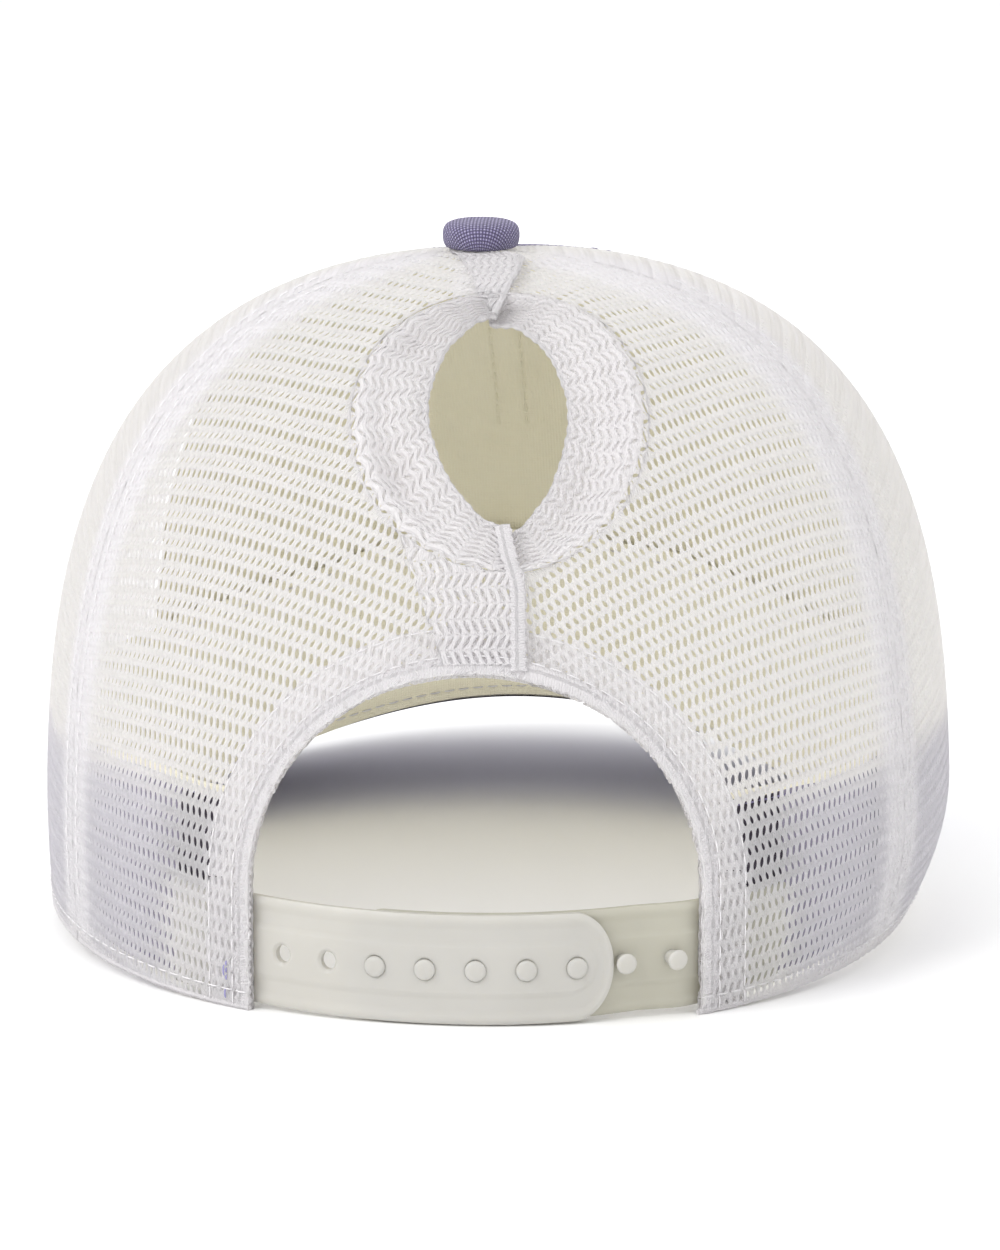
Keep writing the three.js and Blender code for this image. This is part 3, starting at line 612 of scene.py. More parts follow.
class Look:
    """A material built from nodes on one Principled shader."""

    def __init__(self, name, roughness, **sockets):
        self.material = bpy.data.materials.new(name)
        self.material.use_nodes = True
        self.tree = self.material.node_tree
        self.shader = self.tree.nodes["Principled BSDF"]
        self.shader.inputs["Roughness"].default_value = roughness
        for key, value in sockets.items():
            self.shader.inputs[key.replace("_", " ")].default_value = value

    def feed(self, socket, value):
        if isinstance(value, bpy.types.NodeSocket):
            self.tree.links.new(value, socket)
        else:
            socket.default_value = value

    def node(self, kind, inputs=(), **settings):
        """A node with settings, and with inputs fed by numbers, colors or other nodes."""
        node = self.tree.nodes.new(kind)
        for key, value in settings.items():
            setattr(node, key, value)
        for key, value in dict(inputs).items():
            self.feed(node.inputs[key], value)
        return node

    def math(self, operation, *values):
        return self.node("ShaderNodeMath", enumerate(values), operation=operation).outputs[0]

    def total(self, *terms, base=0.0):
        """The sum of terms, each a value and its weight, on a base."""
        for value, weight in terms:
            base = self.math("MULTIPLY_ADD", value, weight, base)
        return base

    def wave(self, value, cycle):
        return self.math("SINE", self.math("MULTIPLY", value, math.tau / cycle))

    def cloth(self):
        """Cloth coordinates in millimetres, as two numbers."""
        uv = self.node("ShaderNodeUVMap", uv_map="cloth").outputs[0]
        return self.node("ShaderNodeSeparateXYZ", {0: uv}).outputs[:2]

    def noise(self, scale, detail):
        """Noise over the object, its scale in cycles per metre."""
        where = self.node("ShaderNodeTexCoord").outputs["Object"]
        noise = self.node("ShaderNodeTexNoise", {"Vector": where, "Scale": scale, "Detail": detail})
        return noise.outputs["Fac"]

    def color(self, share, dark, light, middle=None):
        colors = self.node("ShaderNodeValToRGB", {0: share})
        stops = colors.color_ramp.elements
        stops[0].color, stops[1].color = (*dark, 1), (*light, 1)
        if middle:
            stops.new(0.4).color = (*middle, 1)
        self.feed(self.shader.inputs["Base Color"], colors.outputs[0])

    def bump(self, height, depth):
        """height runs from 0 to 1, depth is in metres."""
        inputs = {"Strength": 1.0, "Distance": depth, "Height": height}
        normal = self.node("ShaderNodeBump", inputs).outputs[0]
        self.feed(self.shader.inputs["Normal"], normal)
        return normal

    def glow_through(self, share, color, **normal):
        """Lets a share of the light through, as thin cloth does."""
        thin = self.node("ShaderNodeBsdfTranslucent", {"Color": (*color, 1), **normal})
        mix = self.node("ShaderNodeMixShader", {0: share, 1: self.shader.outputs[0], 2: thin.outputs[0]})
        self.feed(self.tree.nodes["Material Output"].inputs["Surface"], mix.outputs[0])


def srgb(r, g, b):
    return tuple(((c / 255 + 0.055) / 1.055) ** 2.4 for c in (r, g, b))


def net_look(name, dark, light, through):
    look = Look(name, 0.55, Sheen_Weight=0.25, Sheen_Roughness=0.4)
    s, t = look.cloth()
    # Fine yarns run along the zigzag strands: three to each strand.
    swing = look.math("PINGPONG", look.math("DIVIDE", t, NET["tall"]), 1.0)
    yarn = look.wave(look.total((s, 1 / NET["wide"]), (swing, -0.5)), 1 / 3)
    height = look.total((yarn, 0.35), (look.wave(t, NET["tall"] / 4), 0.12), (look.noise(2600, 2.0), 1.0))
    look.color(look.total((look.noise(60, 2.0), 0.5), (look.noise(1400, 2.0), 0.5)), dark, light)
    look.glow_through(through, light, Normal=look.bump(height, 0.00013))
    return look.material


def weave_look(name, dark, middle, light, pitch, depth):
    """A basket weave: a bead on each crossing, every second one higher, coloured by height: painted shade in
    the dips between threads, darker threads on the lower crossings.
    """
    look = Look(name, 0.85, Sheen_Weight=0.2, Sheen_Roughness=0.5)
    crossing = look.math("MULTIPLY", *(look.wave(value, 2 * pitch) for value in look.cloth()))
    higher = look.total((look.math("GREATER_THAN", crossing, 0.0), 0.25), base=0.75)
    bead = look.math("MULTIPLY", look.math("ABSOLUTE", crossing), higher)
    height = look.total((look.noise(3000, 2.0), 0.25), base=bead)
    look.bump(height, depth)
    # Colour follows the bead height: painted shade in the dips between the threads.
    look.color(look.total((height, 0.72), (look.noise(90, 3.0), 0.25), base=-0.1), dark, light, middle)
    return look.material


def cloth_look(name, dark, light, roughness=0.9, pitch=0.45, through=0.0):
    """Plain close cloth: fine threads both ways."""
    look = Look(name, roughness, Sheen_Weight=0.15)
    threads = look.total(*((look.wave(value, pitch), 0.22) for value in look.cloth()))
    normal = look.bump(look.total((look.noise(1800, 3.0), 1.0), base=threads), 0.00008)
    look.color(look.total((look.noise(70, 3.0), 0.6), (threads, 0.4)), dark, light)
    if through:
        look.glow_through(through, light, Normal=normal)
    return look.material


def plastic_look(name, dark, light, through):
    look = Look(name, 0.38, Subsurface_Weight=0.35, Subsurface_Scale=0.003, IOR=1.46)
    look.shader.inputs["Subsurface Radius"].default_value = (1.0, 0.95, 0.8)
    look.bump(look.total((look.noise(160, 2.0), 1.0), (look.noise(1500, 2.0), 0.15)), 0.0001)
    look.color(look.noise(45, 2.0), dark, light)
    look.glow_through(0.25, through)
    return look.material


NET_LOOK = net_look("net", srgb(236, 234, 236), srgb(252, 251, 252), 0.66)
# The same net as above, a little greyer: painted shade of the doubled and folded cloth in hems, lips and
# folds.
HEM_SHADED_LOOK = net_look("net_hem", srgb(231, 229, 231), srgb(247, 245, 246), 0.45)
TAPE_LOOK = cloth_look("seam_tape", srgb(236, 234, 236), srgb(249, 248, 249), through=0.35)
BACKING_LOOK = cloth_look("front_backing", srgb(248, 242, 214), srgb(254, 251, 232), pitch=0.6, through=0.2)
BAND_LOOK = cloth_look("sweatband", srgb(134, 130, 145), srgb(174, 170, 185), pitch=0.5)
# Near-black cloth for the band's ends: painted shade for the dark gap beside the arch, not the band's own
# colour.
BAND_END_SHADE = cloth_look("sweatband_end_shade", srgb(42, 35, 46), srgb(72, 64, 78), pitch=0.5)
BAND_INNER = cloth_look("sweatband_inner", srgb(240, 235, 212), srgb(252, 249, 232), pitch=0.5)
# The darkest stop is painted shade between the threads; the middle and light stops are the threads' own
# colours.
WEAVE_THREAD_AND_SHADE_COLORS = srgb(40, 34, 60), srgb(121, 112, 156), srgb(212, 205, 237)
WEAVE_LOOK = weave_look("front_weave", *WEAVE_THREAD_AND_SHADE_COLORS, pitch=0.64, depth=0.0004)
THREAD_WHITE = cloth_look("thread_white", srgb(231, 229, 231), srgb(246, 244, 245), 0.6, 0.3)
THREAD_WEAVE = cloth_look("thread_weave", srgb(108, 100, 140), srgb(160, 152, 186), 0.6, 0.3)
THREAD_BLUE = cloth_look("thread_blue", srgb(140, 135, 190), srgb(190, 187, 225), 0.6, 0.3)
STRAP_COLORS = srgb(200, 198, 192), srgb(216, 214, 209), srgb(220, 217, 208)
PLASTIC_LOOK = plastic_look("strap_plastic", *STRAP_COLORS)
# The same plastic as the other half, darker and warmer: painted shade on the strap's under half.
UNDER_SHADED_COLORS = srgb(186, 184, 172), srgb(202, 200, 188), srgb(206, 203, 184)
UNDER_SHADED_LOOK = plastic_look("strap_plastic_under_shaded", *UNDER_SHADED_COLORS)


# Pieces.

def in_scene(name, data):
    thing = bpy.data.objects.new(name, data)
    bpy.context.scene.collection.objects.link(thing)
    return thing


def add_piece(name, parts, nodes, sharp=None):
    """One object made of parts, each a dict of points, faces, uv and look, riding on the cap."""
    looks = list(dict.fromkeys(shape["look"] for shape in parts))
    faces, uvs, slots, base = [], [], [], 0
    for shape in parts:
        for rows in shape["faces"]:
            faces += (rows + base).tolist()
            uvs.append(shape["uv"][rows.ravel()])
            slots += [looks.index(shape["look"])] * len(rows)
        base += len(shape["points"])
    mesh = bpy.data.meshes.new(name)
    points = seat(np.concatenate([shape["points"] for shape in parts]))
    mesh.from_pydata(points.tolist(), [], faces, shade_flat=False)
    mesh.polygons.foreach_set("material_index", slots)
    for look in looks:
        mesh.materials.append(look)
    mesh.uv_layers.new(name="cloth").data.foreach_set("uv", np.concatenate(uvs).ravel())
    mesh.validate()
    if sharp:
        mesh.set_sharp_from_angle(angle=sharp * DEG)
    piece = in_scene(name, mesh)
    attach(piece, "root")
    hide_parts(*nodes)


def part(shape, look):
    return {**shape, "look": look}


def sewn(kind, look, line, out):
    return part(stitches(line, out, *STITCH[kind]), look)


# Net panels, with a row of stitches beside the seam and the rim's edge folded under.

# The back panels: the line that each laps to, its depth and the middle line of its rows.
BACK_PANELS = {1: (left_lap, flat_depth, 33 * DEG), -1: (right_lap_mirrored, right_panel_depth, -45 * DEG)}


def panel_net(side, is_back):
    if not is_back:
        limits = [between(back_seam, lambda climb: FRONT_SEAM, side), above_rim, below_top]
        return net(gore(side * 95 * DEG, limits, flat_depth), (-80, 80), (-3, 200), mirror=side)
    lap, depth, center = BACK_PANELS[side]
    limits = [between(lap, back_seam, side), above_rim, below_top, arch_limit(0, True), outside_eye]
    place = gore(center, limits, swelling(depth), side * 6 * DEG)
    return net(place, (-90, 90), (-14, 200), mirror=side)


def panel_parts(side, is_back):
    climbs = np.linspace(0.03, climb_at_radius(65 * DEG, 30), 160)
    beside = 2.6 / np.maximum(reach_at(climbs), 4) * (-1 if is_back else 1)
    seam = crown_line(side * (back_seam(climbs) + beside), climbs, -0.1)
    foot = back_at(np.array([ARCH["half"]]), np.array([0.0]))[0][0]
    ends = (foot, BACK_SEAM["at_rim"]) if is_back else (BACK_SEAM["at_rim"], FRONT_SEAM)
    az = side * np.linspace(*ends, 120)
    edge = crown_line(az, climb_at(az, rim_height(az) + 0.35), 0.35)
    row = crown_line(az, climb_at(az, rim_height(az) + 3.2), -0.1)
    return [
        part(panel_net(side, is_back), NET_LOOK),
        sewn("net", THREAD_WHITE, *seam),
        part(roll(*edge, 0.45, 0.5, scallop=0.12), HEM_SHADED_LOOK),
        sewn("net", THREAD_WHITE, *row),
    ]


add_piece("side_net_left", panel_parts(1, False), ["side_mesh_left"])
add_piece("side_net_right", panel_parts(-1, False), ["side_mesh_right"])


# Ponytail lips.

def almond(turn, wide, long, power):
    across, down = np.sin(turn), -np.cos(turn)
    bow = 2 / power
    return wide * np.sign(across) * np.abs(across) ** bow, long * np.sign(down) * np.abs(down) ** bow


def lip_point(turn, share, side):
    """Points of a lip at a turn round the eye and a share of the way in to the hole."""
    outer = almond(turn, EYE["wide"] - 0.1, EYE["long"] - 0.1, 2)
    inner = almond(turn, EYE["hole_wide"], EYE["hole_long"], EYE["hole_power"])
    across = lerp(outer[0], inner[0], share)
    down = lerp(outer[1], inner[1] - EYE["hole_rise"], share)
    lift = np.interp(share, LIP_SHARE, LIP_LIFT)
    for at, share_at, spread, share_spread, height in LIP_FOLDS:
        round_it = ((turn - at * DEG + math.pi) % math.tau - math.pi) / (spread * DEG)
        inward = (share - share_at) / share_spread
        lift = lift + height * np.exp(-round_it ** 2 - inward ** 2)
    ripple = np.sin(turn * LIP_RIPPLE["turns"] + share * LIP_RIPPLE["shares"])
    lift = lift + LIP_RIPPLE["height"] * ripple * ramp(share, 0.0, 0.4)
    for at, spread in LIP_ENDS[side]["ends"]:
        near = np.exp(-((turn - at) / spread) ** 2) * ramp(share, -0.05, 0.25)
        lift = lerp(lift, lerp(*LIP_ENDS[side]["lift"], share), near)
    return eye_spot(across, down) + lift[..., None] * EYE_OUT


def lip_parts(side):
    """A lip's net, the doubled cloth beneath, which closes its holes, and its rolled edge."""
    turns = np.linspace(*LIP_SPANS[side], 240)
    arc = arc_lengths(lip_point(turns, 0.4, side))
    wide = LIP_COLUMNS * NET["wide"]

    def place(s, t, drop):
        on_t = np.clip(t, 0, arc[-1])
        points = lip_point(np.interp(on_t, arc, turns), np.clip(s / wide, LIP_SHARE[0], 1.0), side)
        return points - drop[:, None] * EYE_OUT, np.abs(t - on_t)
    mirror = 1 if side == "left" else -1
    upper = net(place, (-0.9, wide - 0.1), (0, arc[-1]), mirror=mirror, open_share=0.8, kept=2, zigzag=1.3)
    beneath = lip_point(np.linspace(*LIP_SPANS[side], 160)[:, None], np.linspace(0.02, 0.98, 14), side)
    edge = lip_point(np.linspace(*LIP_SPANS[side], 200), 0.985, side) - 0.45 * EYE_OUT
    shapes = upper, loft(beneath - 0.85 * EYE_OUT), roll(edge, EYE_OUT, 0.5, 0.34, scallop=0.3)
    return [part(shape, HEM_SHADED_LOOK) for shape in shapes]


# The left panel's lap, from the button to the ponytail hole and from there to the arch.

def lap_fold(fold):
    """The panel's free edge, folded flat."""
    share = np.linspace(0.1, 1.0, 14)
    on_lip = lip_point(LIP_SPANS["left"][fold["lip_end"]], share, "left") + ON_TOP * EYE_OUT
    climbs = np.linspace(*fold["climbs"], 60)
    az = left_lap(climbs)
    on = crown(az, climbs)
    clear = (arch_reach(on[:, 0], on[:, 2]) > 1.02) & (on[:, 2] > ARCH["spring"])
    clear &= eye_reach(az, climbs)[2] > 1.06
    az, climbs = az[clear], climbs[clear]
    on_panel, out = crown_line(az, climbs, swelling(flat_depth)(az, climbs) - ON_TOP)
    line = np.vstack([on_panel, on_lip])
    arc = arc_lengths(line)
    at = np.linspace(0, arc[-1], 110)
    out = rows_at(at, arc, np.vstack([out, np.broadcast_to(EYE_OUT, on_lip.shape)]))
    line = rows_at(at, arc, line)
    smooth(line, 60)
    smooth(out, 60)
    out = unit(out)
    # The fold lies inside the edge.
    inward = np.cross(unit(np.gradient(line, axis=0)), out)
    line = line + 0.9 * fold["wide"] * inward * np.sign(inward[0, 0])
    return part(roll(line, out, fold["proud"], fold["wide"], sides=14, scallop=0.1, pitch=1.9), HEM_SHADED_LOOK)


def lap_flap():
    """The doubled cloth beside the free edge, from the button down to the ponytail hole."""
    climbs = np.linspace(1.52, 1.3, 60)
    clear = eye_reach(left_lap(climbs), climbs)[2] > 1.02
    climbs = climbs[clear][:, None]
    share = np.linspace(0, 1, 16)
    broad = lerp(FLAP["top"], FLAP["at_lip"], np.linspace(0, 1, len(climbs)))[:, None]
    az = az_at_side(side_offset(left_lap(climbs), climbs) + broad * share, climbs, 0.95)
    proud = ON_TOP + FLAP["proud"] * (1 - 0.8 * share ** 2)
    on_panel = sunk(az, climbs, swelling(flat_depth)(az, climbs) - proud)
    inward = np.linspace(0.08, 1.0, 22)[:, None]
    turn = LIP_SPANS["left"][0] + share * lerp(FLAP["lip_turn"], FLAP["hole_turn"], inward ** 0.8)
    on_lip = lip_point(turn, inward, "left") + proud[:, None] * EYE_OUT
    grid = np.concatenate([on_panel, on_lip])
    smooth(grid, 8)
    out = unit(np.cross(np.gradient(grid, axis=1), np.gradient(grid, axis=0)))
    out = out * np.sign(out[..., 2:])
    down_edge = arc_lengths(grid[:, 0])
    widths = arc_lengths(grid.swapaxes(0, 1))[-1]

    def place(s, t, drop):
        on_t = np.clip(t, 0, down_edge[-1])
        width = np.interp(on_t, down_edge, widths)
        on_s = np.clip(s, 0, width)
        at = np.interp(on_t, down_edge, np.arange(len(grid))), on_s / width * (len(share) - 1)
        points = grid_at(grid, *at) - drop[:, None] * grid_at(out, *at)
        return points, np.abs(s - on_s) + np.abs(t - on_t)
    cloth = net(place, (0, widths.max()), (0, down_edge[-1]), open_share=0.5, kept=0.9, zigzag=1.2)
    return [part(cloth, HEM_SHADED_LOOK), part(loft(grid - 0.5 * out), HEM_SHADED_LOOK)]


def apron():
    """Doubled cloth beside the lap, between the ponytail hole and the arch."""
    def reach_left(climb):
        z = crown(0 * climb, climb)[..., 2]
        return az_at_side(lerp(4.0, 11.5, np.clip((z - 60) / 20, 0, 1)), climb, 0.9)
    limits = [between(left_lap, reach_left), arch_limit(1.5, True), outside_eye]
    place = gore(-2 * DEG, limits, swelling(lambda az, climb: -0.45))
    return part(net(place, (-14, 16), (40, 110), open_share=0.95, kept=0.8, zigzag=1.3), HEM_SHADED_LOOK)


# The angle of its middle, and how far each of its rows lies aside, its foot and its top.
BARTACK_AT = 30.9 * DEG
BARTACK_ROWS = [(-0.3, 4.6, 8.4), (0.0, 1.2, 3.4), (0.3, 5.2, 7.6)]


def bartack():
    """Close blue thread that holds the strap's end, at the arch's left foot."""
    parts = []
    for aside, low, high in BARTACK_ROWS:
        az = BARTACK_AT + aside / 90
        line = crown_line(az, climb_at(az, np.linspace(low, high, 40)), -0.12)
        parts.append(sewn("bartack", THREAD_BLUE, *line))
    return parts


lap_parts = [lap_fold(FOLDS["upper"]), lap_fold(FOLDS["lower"]), apron(), *lap_flap(), *bartack()]
add_piece("back_net_left", panel_parts(1, True) + lap_parts, ["back_mesh_left"])
add_piece("back_net_right", panel_parts(-1, True), ["back_mesh_right"])


# Arch hem: a second layer of net behind, a rolled edge and two rows of stitches.

def arch_line(margin, depth):
    """A line along the arch's outline, from the left foot over the top to the right foot."""
    half, rise = ARCH["half"] + margin, ARCH["rise"] + margin
    foot = np.linspace(0.2, ARCH["spring"], 30)[:-1]
    turns = np.linspace(0, math.pi, 161)
    x = np.concatenate([0 * foot + half, half * np.cos(turns), 0 * foot - half])
    z = np.concatenate([foot, ARCH["spring"] + rise * np.sin(turns), foot[::-1]])
    return crown_line(*back_at(x, z), depth)


def arch_hem_parts():
    limits = [arch_limit(ARCH["hem"], False), above_rim, arch_limit(0, True)]
    cloth = net(gore(0, limits, hem_depth), (-62, 62), (-3, 90), open_share=0.35, kept=1.2, zigzag=1.2)
    edge = roll(*arch_line(1.5, 0.8), 0.65, 1.65, sides=16, scallop=0.14, pitch=1.5)
    rows = [sewn("net", THREAD_WHITE, *arch_line(margin, -0.1)) for margin in (2.9, 7.2)]
    return [part(cloth, HEM_SHADED_LOOK), part(edge, HEM_SHADED_LOOK), *rows]


add_piece("arch_edge", arch_hem_parts(), ["arch_hem"])

add_piece("ponytail_lip_left", lip_parts("left"), ["ponytail_hem_left"])
add_piece("ponytail_lip_right", lip_parts("right"), ["ponytail_hem_right"])


# Sweatband, with rounded edges, painted shade on its ends and a pale inner face.

def sweatband_parts():
    az = np.linspace(BAND["end"], math.tau - BAND["end"], 300)
    low = rim_height(az) + BAND["foot"]
    high = low + BAND["height"] + 0.5 * np.sin(az * 9) + 0.3 * np.sin(az * 23 + 1)
    from_back = math.pi - np.abs(math.pi - az)
    depth = BAND["depth"] + BAND["deeper"] * ramp(from_back, 52 * DEG, 43 * DEG)
    share = 0.5 - 0.5 * np.cos(np.linspace(0, math.pi, 16))
    round_off = BAND["thick"] / 2 * (1 - np.sqrt(np.clip(1 - (2 * share - 1) ** 12, 0, 1)))
    climb = climb_at(az[:, None], lerp(low[:, None], high[:, None], share))
    outer = sunk(az[:, None], climb, depth[:, None] + round_off)
    inner = sunk(az[:, None], climb, depth[:, None] + BAND["thick"] - round_off)
    # The first and last eleven rows of the outer face carry the painted shade of the band's ends.
    faces = [
        (outer[:11, :-2], BAND_END_SHADE), (outer[10:-10, :-2], BAND_LOOK), (outer[-11:, :-2], BAND_END_SHADE),
        (outer[:, -3:], BAND_INNER), (inner, BAND_INNER),
    ]
    parts = [part(loft(rows), look) for rows, look in faces]
    for height in (2.0, 34.5):
        climb = climb_at(az, low + height)
        parts.append(sewn("band", THREAD_WEAVE, *crown_line(az, climb, depth - 0.12)))
        line, out = crown_line(az, climb, depth + BAND["thick"] + 0.12)
        parts.append(sewn("band", THREAD_WHITE, line, -out))
    return parts


add_piece("inner_band", sweatband_parts(), ["sweatband"])


# Tape behind the seams between back and side panels.

def tape_parts(side):
    start, end = climb_at(BACK_SEAM["at_rim"], 2.0), climb_at_radius(65 * DEG, 8)
    climbs = np.linspace(start, end, 120)[:, None]
    share = np.linspace(-1, 1, 9)
    az = side * (back_seam(climbs) + 6.0 / np.maximum(20, reach_at(climbs)) * share)
    puff = 0.25 * np.abs(share) ** 6
    faces = sunk(az, climbs, LAYER + 0.3 + puff), sunk(az, climbs, LAYER + 1.1 - puff)
    return [part(loft(face), TAPE_LOOK) for face in faces]


add_piece("seam_band_left", tape_parts(1), ["seam_tape_left"])
add_piece("seam_band_right", tape_parts(-1), ["seam_tape_right"])


# Front: two woven panels outside, one cream lining inside.

def front_angles(start, end, low, top_radius, columns):
    az = np.linspace(start, end, columns)
    share = np.linspace(0, 1, 70)[:, None] ** 1.25
    return az, lerp(climb_at(az, rim_height(az) + low), climb_at_radius(az, top_radius), share)


def sheet(grid, look):
    """Cloth over a grid, its coordinates along each row from the middle and up each column."""
    along = arc_lengths(grid.swapaxes(0, 1))
    along = along - along[grid.shape[1] // 2]
    return part(loft(grid, uv=np.stack([along.T, arc_lengths(grid)], -1)), look)


def front_panel_parts(side):
    start, end = side * (FRONT_SEAM + 0.002), side * (math.pi - 0.001)
    az, climb = front_angles(start, end, 0.0, TOP_HOLE, 60)
    # The cloth turns in at the middle seam and at the side seam.
    beside = np.minimum(np.abs(az - start), np.abs(az - end)) * reach_at(climb)
    turned_in = 0.9 * np.clip(1 - beside / 1.1, 0, 1) ** 2
    parts = [sheet(sunk(az, climb, turned_in), WEAVE_LOOK), sheet(sunk(az, climb, 0.9), BACKING_LOOK)]
    climbs = np.linspace(0.06, climb_at_radius(math.pi, 16), 160)
    for edge, away in ((start, side), (end, -side)):
        climb = np.maximum(climbs, climb_at(edge, rim_height(edge) + 0.5))
        line = crown_line(edge + away * 2.2 / np.maximum(reach_at(climb), 6), climb, -0.05)
        parts.append(sewn("front", THREAD_WEAVE, *line))
    az = np.linspace(start, end, 90)
    edge = crown_line(az, climb_at(az, rim_height(az) + 0.4), 0.5)
    return [*parts, part(roll(*edge, 0.55, 0.5), WEAVE_LOOK)]


def lining_parts():
    az, climb = front_angles(FRONT_SEAM, math.tau - FRONT_SEAM, 2.0, 8.0, 120)
    parts = [sheet(sunk(az, climb, depth), BACKING_LOOK) for depth in (LAYER, LAYER + 0.9)]
    climbs = np.linspace(0.5, climb_at_radius(math.pi, 10), 140)
    for aside in (-3.0, 3.0):
        line, out = crown_line(math.pi + aside / np.maximum(reach_at(climbs), 8), climbs, LAYER + 1.0)
        parts.append(sewn("lining", BACKING_LOOK, line, -out))
    return parts


add_piece("front_cloth_left", front_panel_parts(1), ["front_panel_left"])
add_piece("front_cloth_right", front_panel_parts(-1), ["front_panel_right"])
add_piece("front_lining", lining_parts(), ["front_backing"])


# Peak.

def peak_root(share):
    az = math.pi - share * PEAK["root_angle"] * DEG
    return sunk(az, climb_at(az, rim_height(az) + PEAK["root_lift"]), -0.3)


def peak_edge(share):
    turn = share * math.pi / 2
    bow = 2 / PEAK["power"]
    tip = HALF_LENGTH + PEAK["length"] + PEAK["widest"]
    x = PEAK["half"] * np.sign(turn) * np.abs(np.sin(turn)) ** bow
    y = PEAK["widest"] - tip * np.abs(np.cos(turn)) ** bow
    ahead = -HALF_LENGTH - y
    bent = FRONT_ARCH["lift"] + PEAK["root_lift"] - x * x / (2 * PEAK["bend"]) - PEAK["slope"] * ahead
    join = np.abs(share) ** PEAK["side_blend"]
    z = lerp(bent, peak_root(share)[..., 2] - PEAK["thick"], join / 2)
    return np.stack([x, y, z], -1)


def peak_point(share, out, drop):
    share, out, drop = np.broadcast_arrays(share, out, drop)
    p = lerp(peak_root(share), peak_edge(share), out[..., None])
    p[..., 2] += PEAK["swell"] * np.sin(math.pi * np.clip(out, 0, 1)) * (1 - share * share) - drop
    return p


def peak_parts():
    even = np.linspace(-1, 1, 121)
    share = 0.5 * np.sin(even * math.pi / 2) + 0.5 * even
    outs = np.linspace(0, 1, 26)
    turns = np.linspace(0, math.pi, 9)[1:-1]
    thick = PEAK["thick"]
    out = np.concatenate([outs, 1 + 0.018 * np.sin(turns), outs[::-1]])
    drop = np.concatenate([0 * outs, thick / 2 * (1 - np.cos(turns)), 0 * outs + thick])
    grid = peak_point(share[:, None], out, drop)
    outward = unit((peak_edge(share) - peak_root(share)) * np.array([1.0, 1, 0]))[:, None, :2]
    parts = [part(loft(grid, uv=grid[..., :2] + outward * drop[:, None]), WEAVE_LOOK)]
    span = np.linspace(-0.9, 0.9, 400)
    for row in PEAK_ROWS:
        for below, up in ((-0.08, 1.0), (thick + 0.08, -1.0)):
            parts.append(sewn("peak", THREAD_WEAVE, peak_point(span, row, below), np.array([0, 0, up])))
    return parts


add_piece("peak_cloth", peak_parts(), ["peak"])


# Button: cloth drawn over a domed disc.

def button_parts():
    profile = np.array(BUTTON_CLOTH)
    arc = arc_lengths(profile)
    at = np.linspace(0, arc[-1], 44)
    profile = rows_at(at, arc, profile)
    smooth(profile, 3)
    profile[0, 0] = 0.001
    uv = lathe(np.column_stack([at, at]), 120)[..., :2]
    return [part(loft(lathe(profile, 120) + BUTTON_PLACE, closed=True, uv=uv), WEAVE_LOOK)]


add_piece("button_cloth", button_parts(), ["button"])


# Snap strap.

STRAP_HALF = STRAP["height"] / 2
STRAP_MIDDLE = STRAP["bottom"] + STRAP_HALF
STRAP_RADIUS = crown(0.0, climb_at(0.0, STRAP_MIDDLE))[1] - STRAP["depth"]
END_RADIUS = 8.0
# Rings of points lie round each hole, and all other points are farther from it than clear.
HOLE = {"radius": 1.62, "rings": (1.8, 1.98, 2.2, 2.45), "clear": 2.7, "sink": 2.2, "depth": 0.45}
RELIEF = {
    "rim": 0.28, "rim_step": (1.9, 1.5), "round": 0.3, "round_wide": 0.5,
    "band": 0.26, "band_end": 5.5, "band_half": 4.5, "band_step": (4.75, 4.35),
}


def strap_depth(az, is_over):
    if is_over:
        return STRAP["depth"]
    return lerp(STRAP["depth"], STRAP["under"], ramp(az / DEG, UNDER["step_start"], UNDER["step_end"]))


